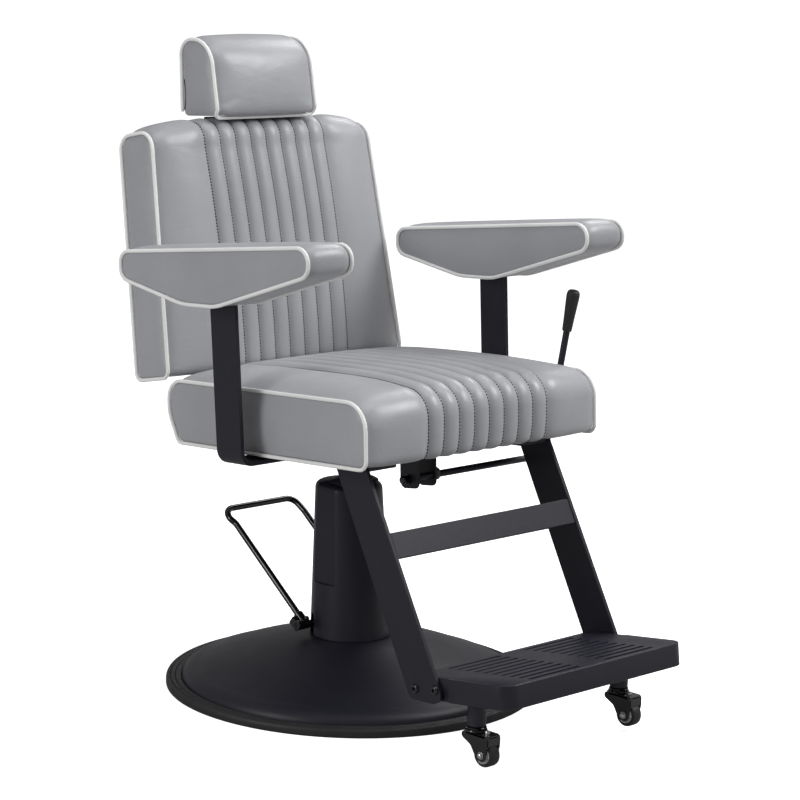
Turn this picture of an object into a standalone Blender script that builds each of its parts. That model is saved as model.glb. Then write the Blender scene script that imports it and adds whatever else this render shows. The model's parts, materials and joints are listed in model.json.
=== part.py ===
"""Hydraulic barber chair, modelled as an assembly of separate parts.

Metres, +Z up. The origin is the centre of the round base on the floor. The chair faces -Y, and +X is
the sitter's left. The seat assembly leans back a few degrees: its parts are drawn in the seat's own
axes (x across, y back, z up, heights counted from the floor) and parented to a tilted empty.
"""

import math

import bmesh
import bpy
from mathutils import Matrix, Vector

# ---------------------------------------------------------------- driving dimensions
GAP = 0.0003                    # air left between two pieces that rest on each other

BASE_RADIUS = 0.330
RING_INNER = 0.3025
RING_TOP = 0.0155
PLATE_THICK = 0.008
DOME_NECK_RADIUS = 0.0645
DOME_TOP = 0.0925
DOME_SHEET = 0.0025

COVER_TOP = 0.377
COVER_SHEET = 0.003
COVER_FOOT_RADIUS = 0.0715      # section radius at the foot, where the cover is widest
COVER_HEAD_RADIUS = 0.0595      # section radius just below the shoulder
COVER_FOOT_SHIFT = 0.0045       # how far the section's centre lies behind the pump axis
COVER_HEAD_SHIFT = 0.0178
COVER_LEDGE = 0.190             # height where the flat sides begin
FLAT_AT_LEDGE = 0.0615
FLAT_AT_HEAD = 0.0550

RAM_RADIUS = 0.0225
RAM_BORE = 0.0265
CYLINDER_RADIUS = 0.0298
CYLINDER_TOP = 0.345
BOLT_CIRCLE = 0.057             # radius on which the pump's three bolts sit
RAM_SHOULDER = 0.398

PEDAL_Y = 0.040
PEDAL_Z = 0.113
PEDAL_SHAFT_RADIUS = 0.0055
PEDAL_HUB_RADIUS = 0.0088
PEDAL_HUB_SPAN = (0.0700, 0.0985)
PEDAL_TUBE_RADIUS = 0.0058
PEDAL_ARM_X = {-1: -0.0780, 1: 0.0900}   # x of the arms at their hubs, right and left
PEDAL_END_X = {-1: -0.0975, 1: 0.0850}   # x of the loop's outer corners: its end is set to the right
PEDAL_REACH = 0.277
PEDAL_JOG = 0.034                # length over which the arms step across to the corners
PEDAL_RISE_DEG = 37.6
CAM_REACH = 0.016
PLUNGER_RADIUS = 0.0042

SEAT_TILT_DEG = 3.54
SEAT_TILT_HEIGHT = 0.500        # the tilt turns about an X axis at this height

SEAT_HALF_WIDTH = 0.277
SEAT_FRONT = -0.311
SEAT_BACK = 0.186
SEAT_UNDERSIDE = 0.457
SEAT_TOP = 0.563
BOARD_THICK = 0.0084
FRAME_THICK = 0.008
FRAME_HALF_WIDTH = 0.142
FRAME_FRONT = -0.178
FRAME_REAR = 0.246

ARM_OUTER = 0.376
ARM_INNER = 0.279
POST_OUTER = 0.324
POST_THICK = 0.008
POST_FRONT = -0.0605
POST_BACK = 0.0025
POST_LEAN_DEG = 1.2             # the posts lean back and outwards above their bend
POST_SPLAY_DEG = 0.7
POST_TOP = 0.738
POST_BEND = 0.026

BAR_OUTER = 0.223
BAR_THICK = 0.008
BAR_TOP_FRONT = -0.2550
BAR_TOP_REAR = -0.1790
BOARD_HALF_WIDTH = 0.250
BOARD_FRONT = -0.262
BOARD_REAR = 0.150
FOOT_PLATE_TILT_DEG = 3.8
FOOT_PLATE_FRONT = -0.563
FOOT_PLATE_DEPTH = 0.212
FOOT_PLATE_HALF = 0.2178         # half width in front of the side bars
FOOT_PLATE_WIDE = 0.133          # how far back the tray keeps that width
FOOT_PLATE_HEIGHT = 0.039
FOOT_PLATE_TOP = 0.1317         # at the front edge, in the seat's axes

WHEEL_RADIUS = 0.0205
WHEEL_CENTRE = (0.174, -0.505, 0.0295)
CASTER_TRAIL = 0.025
CASTER_POST_RADIUS = 0.0155
CASTER_POST_FOOT = 0.0720

LEVER_Y = -0.166
LEVER_Z = 0.3975
LEVER_ROD_RADIUS = 0.006
LEVER_X = 0.302

RECLINE_Y = 0.225
RECLINE_Z = 0.505
BACK_LEAN_DEG = 8.0
BACK_ORIGIN_Y = 0.178           # front lower edge of the backrest, in the seat's axes
BACK_ORIGIN_Z = 0.565
BACK_HEIGHT = 0.430
BACK_THICK = 0.090
BACK_HALF_BOTTOM = 0.282
BACK_HALF_TOP = 0.2575
HEADREST_HALF_WIDTH = 0.118

STRUT_X = 0.062
STRUT_FRONT = (-0.095, 0.4240)
STRUT_REAR = (0.260, 0.4045)
STRUT_EYE_RADIUS = 0.0095       # hole in the backrest's arm, wider than the strut's pin
STRUT_EYE_RISE = 0.0040         # how far the hole's centre lies above the pin when the back is upright

ROUND = 48                      # facets of a large round part
SMALL_ROUND = 16                # facets of a small round part

# ---------------------------------------------------------------- materials


def make_material(name, colour, roughness, metallic=0.0):
    """A Principled material with one colour."""
    made = bpy.data.materials.new(name)
    made.use_nodes = True
    shader = made.node_tree.nodes["Principled BSDF"]
    shader.inputs["Base Color"].default_value = (*colour, 1.0)
    shader.inputs["Roughness"].default_value = roughness
    shader.inputs["Metallic"].default_value = metallic
    made.diffuse_color = (*colour, 1.0)
    return made


def make_materials():
    return {
        "leather": make_material("grey_leather", (0.36, 0.37, 0.39), 0.45),
        "black": make_material("black_powder_coat", (0.018, 0.018, 0.022), 0.45, 0.2),
        "gloss": make_material("gloss_black_plastic", (0.01, 0.01, 0.012), 0.2),
        "steel": make_material("bright_steel", (0.55, 0.55, 0.56), 0.3, 1.0),
        "cast": make_material("cast_iron", (0.10, 0.10, 0.11), 0.6, 0.8),
        "rubber": make_material("black_rubber", (0.02, 0.02, 0.02), 0.75),
        "board": make_material("painted_board", (0.018, 0.017, 0.016), 0.6),
    }


# ---------------------------------------------------------------- mesh helpers


def new_object(name, mesh_maker, material, parent=None, smooth_deg=None):
    """Turns a bmesh into a named object, with its faces pointing out."""
    bmesh.ops.recalc_face_normals(mesh_maker, faces=mesh_maker.faces)
    mesh = bpy.data.meshes.new(name)
    mesh_maker.to_mesh(mesh)
    mesh_maker.free()
    made = bpy.data.objects.new(name, mesh)
    bpy.context.scene.collection.objects.link(made)
    mesh.materials.append(material)
    if smooth_deg is not None:
        mesh.shade_smooth()
        mesh.set_sharp_from_angle(angle=math.radians(smooth_deg))
    made.parent = parent
    return made


def bridge(maker, ring_a, ring_b):
    """Quads between two closed rings of the same length."""
    count = len(ring_a)
    for i in range(count):
        j = (i + 1) % count
        maker.faces.new((ring_a[i], ring_a[j], ring_b[j], ring_b[i]))


def turned(profile, facets=ROUND, closed=True):
    """A solid of revolution about Z. An open profile starts and ends on the axis."""
    maker = bmesh.new()
    rings = []
    for radius, height in profile:
        if radius < 1e-6:
            rings.append([maker.verts.new((0.0, 0.0, height))])
            continue
        ring = []
        for i in range(facets):
            angle = 2.0 * math.pi * i / facets
            ring.append(maker.verts.new((radius * math.cos(angle), radius * math.sin(angle), height)))
        rings.append(ring)
    pairs = list(zip(rings, rings[1:]))
    if closed:
        pairs.append((rings[-1], rings[0]))
    for lower, upper in pairs:
        if len(lower) > 1 and len(upper) > 1:
            bridge(maker, lower, upper)
            continue
        tip, ring = (lower, upper) if len(lower) == 1 else (upper, lower)
        if abs(tip[0].co.z - ring[0].co.z) < 1e-6:
            maker.verts.remove(tip[0])
            maker.faces.new(ring)
            continue
        for i in range(facets):
            maker.faces.new((tip[0], ring[i], ring[(i + 1) % facets]))
    return maker


def disc(radius, low, high, facets=SMALL_ROUND):
    """A plain cylinder about Z."""
    return turned([(0.0, low), (radius, low), (radius, high), (0.0, high)], facets, closed=False)


def tube(inner, outer, low, high, facets=SMALL_ROUND):
    """A plain tube about Z."""
    return turned([(inner, low), (outer, low), (outer, high), (inner, high)], facets)


def stud(shank, head, start, neck, end, facets=SMALL_ROUND):
    """A shank about Z with a wider head between neck and end. The head may lie at either end."""
    profile = [(0.0, start), (shank, start), (shank, neck), (head, neck), (head, end), (0.0, end)]
    return turned(profile, facets, closed=False)


def prism(outline, low, high, axis="Z"):
    """A flat outline extruded along an axis: (y, z) along X, (x, z) along Y or (x, y) along Z."""
    place = {
        "X": lambda a, b, c: (c, a, b),
        "Y": lambda a, b, c: (a, c, b),
        "Z": lambda a, b, c: (a, b, c),
    }[axis]
    maker = bmesh.new()
    start = [maker.verts.new(place(a, b, low)) for a, b in outline]
    end = [maker.verts.new(place(a, b, high)) for a, b in outline]
    maker.faces.new(start)
    maker.faces.new(list(reversed(end)))
    bridge(maker, start, end)
    return maker


def box(low, high):
    """An axis-aligned block between two corners."""
    outline = [(low[0], low[1]), (high[0], low[1]), (high[0], high[1]), (low[0], high[1])]
    return prism(outline, low[2], high[2])


def rounded(corners, steps=4):
    """An outline through corners (a, b, radius), each turned into an arc of a few points."""
    points = []
    count = len(corners)
    for i, (a, b, radius) in enumerate(corners):
        here = Vector((a, b))
        before = (Vector(corners[i - 1][:2]) - here).normalized()
        after = (Vector(corners[(i + 1) % count][:2]) - here).normalized()
        if radius <= 0.0:
            points.append((a, b))
            continue
        half = before.angle(after) / 2.0
        middle = (before + after).normalized()
        centre = here + middle * (radius / math.sin(half))
        first = here + before * (radius / math.tan(half)) - centre
        last = here + after * (radius / math.tan(half)) - centre
        turn = first.angle_signed(last)
        for k in range(steps + 1):
            point = centre + Matrix.Rotation(-turn * k / steps, 2) @ first
            points.append((point.x, point.y))
    return points


def shell_profile(points, sheet):
    """Closes an open (r, z) line into a sheet, offset towards its inner side."""
    inner = []
    for i, point in enumerate(points):
        here = Vector(point)
        before = Vector(points[max(i - 1, 0)])
        after = Vector(points[min(i + 1, len(points) - 1)])
        along = (after - before).normalized()
        inner.append(tuple(here + Vector((along.y, -along.x)) * -sheet))
    inner[0] = (points[0][0] - sheet, points[0][1])
    inner[-1] = (points[-1][0], points[-1][1] - sheet)
    return list(points) + list(reversed(inner))


def lofted(outline, stations, place):
    """A closed solid through one outline repeated at several stations, placed by a function."""
    maker = bmesh.new()
    rings = []
    for station in stations:
        ring = [maker.verts.new(place(station, a, b)) for a, b in outline]
        rings.append(ring)
    maker.faces.new(rings[0])
    maker.faces.new(list(reversed(rings[-1])))
    for near, far in zip(rings, rings[1:]):
        bridge(maker, near, far)
    return maker


def swept(path, radius, name, material, parent):
    """A round bar along a path, as a curve with a bevel and filled caps."""
    curve = bpy.data.curves.new(name, "CURVE")
    curve.dimensions = "3D"
    curve.bevel_depth = radius
    curve.bevel_resolution = 3
    curve.use_fill_caps = True
    line = curve.splines.new("POLY")
    line.points.add(len(path) - 1)
    for point, place in zip(line.points, path):
        point.co = (*place, 1.0)
    made = bpy.data.objects.new(name, curve)
    bpy.context.scene.collection.objects.link(made)
    curve.materials.append(material)
    made.parent = parent
    return made


def filleted(points, radius, steps=6):
    """A 3-D path with its inner corners rounded."""
    path = [Vector(points[0])]
    for before, here, after in zip(points, points[1:], points[2:]):
        corner = Vector(here)
        back = (Vector(before) - corner).normalized()
        ahead = (Vector(after) - corner).normalized()
        half = back.angle(ahead) / 2.0
        reach = radius / math.tan(half)
        centre = corner + (back + ahead).normalized() * (radius / math.sin(half))
        start = corner + back * reach - centre
        end = corner + ahead * reach - centre
        for k in range(steps + 1):
            path.append(centre + start.slerp(end, k / steps).normalized() * radius)
    path.append(Vector(points[-1]))
    return path


def boolean(target, tool, operation="DIFFERENCE"):
    """Applies a Boolean of the tool to the target's mesh, and removes the tool."""
    step = target.modifiers.new("boolean", "BOOLEAN")
    step.operation = operation
    step.solver = "EXACT"
    step.object = tool
    bpy.context.view_layer.update()
    graph = bpy.context.evaluated_depsgraph_get()
    result = bpy.data.meshes.new_from_object(target.evaluated_get(graph))
    material = target.data.materials[0]
    target.modifiers.clear()
    target.data = result
    result.materials.clear()
    result.materials.append(material)
    bpy.data.objects.remove(tool)


def cut(target, maker):
    """Cuts a shape, drawn in the target's axes, out of the target."""
    boolean(target, new_object("cutter", maker, target.data.materials[0], target.parent))


def join(target, maker, level=False):
    """Joins a shape to the target as one body. It is drawn in the target's axes, or level in the world's."""
    parent = None if level else target.parent
    boolean(target, new_object("addition", maker, target.data.materials[0], parent), "UNION")


def moved(maker, matrix):
    bmesh.ops.transform(maker, matrix=matrix, verts=maker.verts)
    return maker


def along_x(maker, y=0.0, z=0.0):
    """Lays a shape that was turned about Z along the X axis, at the given y and z."""
    turn = Matrix.Rotation(math.radians(90.0), 4, "Y")
    return moved(maker, Matrix.Translation((0.0, y, z)) @ turn)


def at(maker, x=0.0, y=0.0, z=0.0):
    return moved(maker, Matrix.Translation((x, y, z)))


def axis_empty(name, location, parent=None, rotation=(0.0, 0.0, 0.0)):
    """An empty on a joint's axis or at an assembly's origin."""
    made = bpy.data.objects.new(name, None)
    bpy.context.scene.collection.objects.link(made)
    made.location = location
    made.rotation_euler = rotation
    made.parent = parent
    return made


def hang(pieces, empty, origin):
    """Parents pieces drawn in the outer axes to an empty that stands at their joint's origin."""
    for piece in pieces:
        piece.data.transform(Matrix.Translation(-Vector(origin)))
        piece.parent = empty


# ---------------------------------------------------------------- base and pump


def base_parts(mats):
    turns = [math.radians(turn) for turn in (30, 150, 270)]
    bolt_spots = [(BOLT_CIRCLE * math.cos(turn), BOLT_CIRCLE * math.sin(turn)) for turn in turns]
    plate = new_object("base_plate", disc(RING_INNER - GAP, 0.0, PLATE_THICK, ROUND), mats["black"])
    ridge = [
        (RING_INNER, 0.0), (BASE_RADIUS - 0.0015, 0.0), (BASE_RADIUS, 0.0015), (BASE_RADIUS, 0.0105),
        (0.3285, RING_TOP - 0.001), (0.3255, RING_TOP), (0.3225, RING_TOP - 0.003),
        (0.3195, RING_TOP), (0.3165, RING_TOP), (0.3135, RING_TOP - 0.003),
        (0.3105, RING_TOP), (0.3065, RING_TOP), (RING_INNER, RING_TOP - 0.002),
    ]
    new_object("base_trim_ring", turned(ridge), mats["rubber"], smooth_deg=40)

    skirt = [
        (RING_INNER - GAP, PLATE_THICK + GAP), (0.3012, 0.0165), (0.2960, 0.0245), (0.2860, 0.0315),
        (0.2720, 0.0360), (0.2500, 0.0446), (0.2150, 0.0577), (0.1750, 0.0702), (0.1350, 0.0810),
        (0.1000, 0.0900), (0.0800, 0.0920), (DOME_NECK_RADIUS, DOME_TOP),
    ]
    new_object("base_dome", turned(shell_profile(skirt, DOME_SHEET)), mats["black"], smooth_deg=40)

    low = PLATE_THICK + GAP
    body = new_object("pump_body", disc(0.074, low, 0.024, 32), mats["cast"], smooth_deg=40)
    join(body, disc(0.040, 0.018, 0.075, 32))
    join(body, at(disc(0.0095, 0.018, 0.080), 0.0, PEDAL_Y + CAM_REACH))
    cut(body, disc(CYLINDER_RADIUS + GAP, 0.016, 0.09, 32))
    cut(body, at(disc(PLUNGER_RADIUS + GAP, 0.030, 0.09, 12), 0.0, PEDAL_Y + CAM_REACH))
    for number, (x, y) in enumerate(bolt_spots, start=1):
        cut(body, at(disc(0.0053, 0.004, 0.05, 12), x, y))
        cut(plate, at(disc(0.0053, 0.0035, 0.02, 12), x, y))
        new_object(f"flange_bolt_{number}", at(stud(0.0050, 0.0088, 0.0038, 0.024 + GAP, 0.0305, 12), x, y),
                   mats["steel"])

    cylinder = tube(RAM_BORE, CYLINDER_RADIUS, 0.016 + GAP, CYLINDER_TOP, 32)
    new_object("ram_cylinder", cylinder, mats["steel"], smooth_deg=40)
    bore = RAM_RADIUS + GAP
    gland = [
        (bore, CYLINDER_TOP - 0.012), (RAM_BORE - GAP, CYLINDER_TOP - 0.012),
        (RAM_BORE - GAP, CYLINDER_TOP + GAP), (0.034, CYLINDER_TOP + GAP),
        (0.034, CYLINDER_TOP + 0.011), (bore, CYLINDER_TOP + 0.011),
    ]
    new_object("pump_gland", turned(gland, 32), mats["cast"], smooth_deg=40)
    seal_low = CYLINDER_TOP + 0.011 + GAP
    seal = [(bore, seal_low), (0.0285, seal_low), (0.0285, COVER_TOP + 0.001), (bore, COVER_TOP + 0.003)]
    new_object("wiper_seal", turned(seal, 32), mats["rubber"], smooth_deg=40)
    pump_cover(mats)


def cover_section(height, inset, count=ROUND):
    """One ring of the pump cover: a circle set back from the pump axis, flattened on both sides."""
    fall = (COVER_TOP - 0.017 - height) / (COVER_TOP - 0.017 - DOME_TOP)
    radius = COVER_HEAD_RADIUS + (COVER_FOOT_RADIUS - COVER_HEAD_RADIUS) * max(fall, 0.0) - inset
    shift = COVER_HEAD_SHIFT + (COVER_FOOT_SHIFT - COVER_HEAD_SHIFT) * max(fall, 0.0)
    limit = radius
    if height >= COVER_LEDGE:
        share = (height - COVER_LEDGE) / (COVER_TOP - 0.017 - COVER_LEDGE)
        limit = FLAT_AT_LEDGE + (FLAT_AT_HEAD - FLAT_AT_LEDGE) * min(share, 1.0) - inset
    ring = []
    for i in range(count):
        angle = 2.0 * math.pi * (i + 0.5) / count
        x = max(-limit, min(limit, radius * math.cos(angle)))
        ring.append((x, shift + radius * math.sin(angle), height))
    return ring


def pump_cover(mats):
    """The tapering tower: outer and inner rings, open below, with a round hole for the ram."""
    shoulder = COVER_TOP - 0.017
    outer = [cover_section(h, 0.0) for h in (DOME_TOP + GAP, 0.145, COVER_LEDGE - 0.0015, COVER_LEDGE)]
    outer += [cover_section(h, 0.0) for h in (0.280, shoulder)]
    outer += [cover_section(shoulder + rise, inset) for rise, inset in ((0.005, 0.0015), (0.0085, 0.006))]
    outer.append(cover_section(shoulder + 0.0105, 0.013))
    inner = [cover_section(h, COVER_SHEET) for h in (DOME_TOP + GAP, COVER_LEDGE - 0.0015, COVER_LEDGE)]
    inner.append(cover_section(shoulder, COVER_SHEET))
    hole_radius = 0.0292
    maker = bmesh.new()

    def ring_of(points):
        return [maker.verts.new(p) for p in points]

    def hole(height):
        turn = 2.0 * math.pi / ROUND
        angles = [(i + 0.5) * turn for i in range(ROUND)]
        return ring_of([(hole_radius * math.cos(a), hole_radius * math.sin(a), height) for a in angles])

    rings = [ring_of(points) for points in outer]
    rings += [hole(COVER_TOP), hole(COVER_TOP - 0.006)]
    rings += [ring_of(points) for points in reversed(inner)]
    for near, far in zip(rings, rings[1:] + rings[:1]):
        bridge(maker, near, far)
    cover = new_object("pump_cover", maker, mats["black"], smooth_deg=35)
    notch = rounded([(PEDAL_Y - 0.012, 0.09, 0.0), (PEDAL_Y + 0.012, 0.09, 0.0),
                     (PEDAL_Y + 0.012, PEDAL_Z + 0.019, 0.0115), (PEDAL_Y - 0.012, PEDAL_Z + 0.019, 0.0115)])
    cut(cover, prism(notch, -0.12, 0.12, "X"))


def pedal_parts(mats):
    """The foot pedal turns about the cross shaft behind the ram cylinder."""
    axis = (0.0, PEDAL_Y, PEDAL_Z)
    near, far = PEDAL_HUB_SPAN
    shaft = new_object(
        "pedal_shaft", along_x(disc(PEDAL_SHAFT_RADIUS, -far + 0.006, far - 0.006), PEDAL_Y, PEDAL_Z),
        mats["steel"], smooth_deg=40)
    tip = CAM_REACH + 0.005
    cam_outline = rounded([(-0.0092, -0.0094, 0.0088), (0.008, -0.0094, 0.004), (0.0085, -0.005, 0.0),
                           (tip, -0.005, 0.004), (tip, 0.005, 0.004), (0.0085, 0.005, 0.0),
                           (0.008, 0.0094, 0.004), (-0.0092, 0.0094, 0.0088)])
    cam = new_object("pedal_cam", prism(cam_outline, -0.008, 0.008, "X"), mats["cast"], smooth_deg=40)
    cut(cam, along_x(disc(PEDAL_SHAFT_RADIUS + GAP, -0.02, 0.02)))
    cam.data.transform(Matrix.Translation(axis))

    rise = math.radians(PEDAL_RISE_DEG)
    outward = Vector((0.0, math.cos(rise), math.sin(rise)))
    start = PEDAL_SHAFT_RADIUS + 4 * GAP
    corners = []
    for side in (-1, 1):
        arm, end = PEDAL_ARM_X[side], PEDAL_END_X[side]
        spots = [(start, arm), (PEDAL_REACH - PEDAL_JOG, arm), (PEDAL_REACH, end)]
        corners += [Vector(axis) + outward * reach + Vector((x, 0.0, 0.0)) for reach, x in spots[::-side]]
    pedal = [shaft, cam]
    for side, label in ((-1, "right"), (1, "left")):
        span = sorted((side * near, side * far))
        hub = new_object(f"pedal_hub_{label}", along_x(disc(PEDAL_HUB_RADIUS, *span, 20)), mats["black"],
                         smooth_deg=40)
        block = box((span[0] + 0.001, -0.004, -0.0103), (span[1] - 0.001, 0.0175, 0.0045))
        join(hub, moved(block, Matrix.Rotation(rise, 4, "X")))
        hollow = sorted((side * (near - 0.01), side * (far - 0.0057)))
        cut(hub, along_x(disc(PEDAL_SHAFT_RADIUS + GAP, *hollow)))
        join(hub, at(disc(0.0042, 0.0087, 0.0135, 12), side * (near + 0.006), -0.002))
        hub.data.transform(Matrix.Translation(axis))
        pedal.append(hub)
    return pedal, corners, axis


def pedal_assembly(mats):
    pedal, corners, axis = pedal_parts(mats)
    path = filleted(corners, 0.020)
    loop = swept(path, PEDAL_TUBE_RADIUS, "pedal_loop", mats["black"], None)
    for hub in [piece for piece in pedal if piece.name.startswith("pedal_hub")]:
        side = -1.0 if hub.name.endswith("right") else 1.0
        bore = disc(PEDAL_TUBE_RADIUS + GAP, PEDAL_SHAFT_RADIUS + 2 * GAP, 0.060)
        lean = Matrix.Rotation(math.radians(PEDAL_RISE_DEG - 90.0), 4, "X")
        cut(hub, moved(bore, Matrix.Translation((PEDAL_ARM_X[int(side)], PEDAL_Y, PEDAL_Z)) @ lean))
    hinge = axis_empty("pedal_axis", axis)
    hang(pedal + [loop], hinge, axis)

    plunger_top = PEDAL_Z - 0.0053
    spot = (0.0, PEDAL_Y + CAM_REACH)
    plunger = new_object("pump_plunger", at(disc(PLUNGER_RADIUS, 0.045, plunger_top), *spot), mats["steel"],
                         smooth_deg=40)
    join(plunger, at(disc(0.0065, plunger_top - 0.004, plunger_top), *spot))
    turns = 4.5
    low, high = 0.0822, plunger_top - 0.0062
    steps = 54
    coil = []
    for k in range(steps + 1):
        angle = 2.0 * math.pi * turns * k / steps
        height = low + (high - low) * k / steps
        coil.append((0.0062 * math.cos(angle), spot[1] + 0.0062 * math.sin(angle), height))
    spring = swept(coil, 0.0009, "plunger_spring", mats["steel"], None)
    spring.data.bevel_resolution = 1


# ---------------------------------------------------------------- lift and seat frame


def lift_parts(mats):
    ram = [
        (0.0, 0.030), (RAM_BORE - 2 * GAP, 0.030), (RAM_BORE - 2 * GAP, 0.050), (RAM_RADIUS, 0.052),
        (RAM_RADIUS, RAM_SHOULDER), (0.016, RAM_SHOULDER), (0.016, 0.418), (0.0, 0.420),
    ]
    piston = new_object("lift_ram", turned(ram, 32, closed=False), mats["steel"], smooth_deg=40)
    low = RAM_SHOULDER + GAP
    washer = new_object("swivel_bearing", tube(0.0163, 0.026, low, low + 0.004, 32), mats["steel"],
                        smooth_deg=40)
    return piston, washer


def seat_height(y, z):
    """World height of a point given in the seat's axes."""
    tilt = math.radians(SEAT_TILT_DEG)
    return SEAT_TILT_HEIGHT - y * math.sin(tilt) + (z - SEAT_TILT_HEIGHT) * math.cos(tilt)


def swivel_head(mats, frame_low):
    """A level boss round the ram's spigot, topped by a flange that follows the seat's tilt."""
    low = RAM_SHOULDER + 0.004 + 2 * GAP
    slope = math.tan(math.radians(SEAT_TILT_DEG))
    level = seat_height(0.0, frame_low) - GAP
    maker = turned([(0.0, low), (0.029, low), (0.029, 0.422), (0.048, 0.424), (0.048, level), (0.0, level)],
                   32, closed=False)
    for vert in maker.verts:
        if vert.co.z > level - 1e-5:
            vert.co.z -= vert.co.y * slope
    head = new_object("swivel_head", maker, mats["cast"], smooth_deg=40)
    cut(head, disc(0.0165, 0.39, 0.4215, 32))
    return head


def seat_axes():
    tilt = math.radians(SEAT_TILT_DEG)
    shift = (0.0, -SEAT_TILT_HEIGHT * math.sin(tilt), SEAT_TILT_HEIGHT * (1.0 - math.cos(tilt)))
    return axis_empty("seat_axes", shift, rotation=(-tilt, 0.0, 0.0))


def seat_frame_parts(mats, axes, board_low):
    top = board_low - GAP
    low = top - FRAME_THICK
    outline = rounded([(-FRAME_HALF_WIDTH, FRAME_FRONT, 0.012), (FRAME_HALF_WIDTH, FRAME_FRONT, 0.012),
                       (FRAME_HALF_WIDTH, FRAME_REAR, 0.012), (-FRAME_HALF_WIDTH, FRAME_REAR, 0.012)], 3)
    frame = new_object("seat_frame", prism(outline, low, top), mats["black"], axes)
    cut(frame, box((STRUT_X - 0.016, 0.150, 0.40), (STRUT_X + 0.016, 0.30, 0.50)))
    half = BOARD_HALF_WIDTH
    board_outline = rounded([(-half, BOARD_FRONT, 0.02), (half, BOARD_FRONT, 0.02),
                             (half, BOARD_REAR, 0.02), (-half, BOARD_REAR, 0.02)], 3)
    new_object("seat_board", prism(board_outline, board_low, SEAT_UNDERSIDE - GAP), mats["board"], axes)
    for side, label in ((-1, "right"), (1, "left")):
        bracket = rounded([(0.190, top + GAP, 0.0), (0.245, top + GAP, 0.0),
                           (0.245, RECLINE_Z + 0.018, 0.019), (0.205, RECLINE_Z + 0.018, 0.019),
                           (0.200, 0.470, 0.010)], 3)
        span = sorted((side * 0.1265, side * 0.1325))
        ear = new_object(f"hinge_bracket_{label}", prism(bracket, *span, "X"), mats["black"], axes)
        cut(ear, along_x(disc(0.0063, -0.2, 0.2), RECLINE_Y, RECLINE_Z))
        pin = stud(0.0060, 0.0105, side * 0.1440, side * (0.1265 - GAP), side * 0.1215)
        new_object(f"hinge_pin_{label}", along_x(pin, RECLINE_Y, RECLINE_Z), mats["steel"], axes,
                   smooth_deg=40)
    return frame, low


def splayed(maker, side, floor):
    """Shears everything above a height backwards and out to one side."""
    for vert in maker.verts:
        above = max(0.0, vert.co.z - floor)
        vert.co.x += side * above * math.tan(math.radians(POST_SPLAY_DEG))
        vert.co.y += above * math.tan(math.radians(POST_LEAN_DEG))
    return maker


def arm_parts(mats, axes, board_low):
    """Each arm is a flat bar that runs out from under the seat and up to its upholstered pad."""
    bar_low = board_low - GAP - POST_THICK
    bar_high = bar_low + POST_THICK
    inner_end = FRAME_HALF_WIDTH + 0.004
    pad_outline = rounded([
        (0.184, 0.792, 0.021), (0.184, 0.747, 0.021), (0.022, 0.7125, 0.120), (-0.062, 0.7125, 0.060),
        (-0.292, 0.774, 0.014), (-0.292, 0.8195, 0.024),
    ], 4)
    centre = (ARM_OUTER + ARM_INNER) / 2.0
    half = (ARM_OUTER - ARM_INNER) / 2.0
    for side, label in ((-1, "right"), (1, "left")):
        bend = rounded([
            (side * inner_end, bar_low, 0.0), (side * POST_OUTER, bar_low, POST_BEND),
            (side * POST_OUTER, POST_TOP, 0.0), (side * (POST_OUTER - POST_THICK), POST_TOP, 0.0),
            (side * (POST_OUTER - POST_THICK), bar_high, POST_BEND - POST_THICK),
            (side * inner_end, bar_high, 0.0),
        ], 5)
        bracket = splayed(prism(bend, POST_FRONT, POST_BACK, "Y"), side, bar_low + POST_BEND)
        new_object(f"arm_bracket_{label}", bracket, mats["black"], axes, smooth_deg=40)

        def place(share, y, z, side=side):
            crown = 0.0035 * (1.0 - share * share) * (1.0 if z > 0.78 else 0.0)
            return (side * centre + share * half, y, z + crown)

        pad = new_object(f"armrest_{label}", lofted(pad_outline, (-1.0, -0.93, 0.0, 0.93, 1.0), place),
                         mats["leather"], axes, smooth_deg=50)
        slack = 0.0008
        low = (min(side * POST_OUTER, side * (POST_OUTER - POST_THICK)) - slack, POST_FRONT - slack, 0.60)
        high = (low[0] + POST_THICK + 2 * slack, POST_BACK + slack, POST_TOP + slack)
        cut(pad, splayed(box(low, high), side, bar_low + POST_BEND))


def seat_cushion(mats, axes):
    outline = rounded([
        (0.160, SEAT_UNDERSIDE, 0.006), (SEAT_BACK, 0.500, 0.030), (SEAT_BACK - 0.003, SEAT_TOP, 0.026),
        (SEAT_FRONT, SEAT_TOP - 0.001, 0.022), (SEAT_FRONT, SEAT_UNDERSIDE, 0.014),
    ], 4)
    middle_y = (SEAT_FRONT + SEAT_BACK) / 2.0

    def place(share, y, z):
        swell = 1.0 - abs(share) ** 3
        rise = 0.018 * swell * (1.0 - (abs(y - middle_y) / 0.262) ** 4) if z > SEAT_TOP - 0.012 else 0.0
        push = 0.008 * swell if y < SEAT_FRONT + 0.004 and z > SEAT_UNDERSIDE + 0.01 else 0.0
        return (share * SEAT_HALF_WIDTH, y - push, z + rise)

    stations = (-1.0, -0.9, -0.6, -0.3, 0.0, 0.3, 0.6, 0.9, 1.0)
    dense = subdivided(outline, 0.09)
    new_object("seat_cushion", lofted(dense, stations, place), mats["leather"], axes, smooth_deg=50)


def subdivided(outline, longest):
    """Adds points to an outline's long straight runs."""
    points = []
    for here, after in zip(outline, outline[1:] + outline[:1]):
        pieces = max(1, math.ceil(math.dist(here, after) / longest))
        for k in range(pieces):
            share = k / pieces
            points.append((here[0] + (after[0] - here[0]) * share, here[1] + (after[1] - here[1]) * share))
    return points


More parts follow.
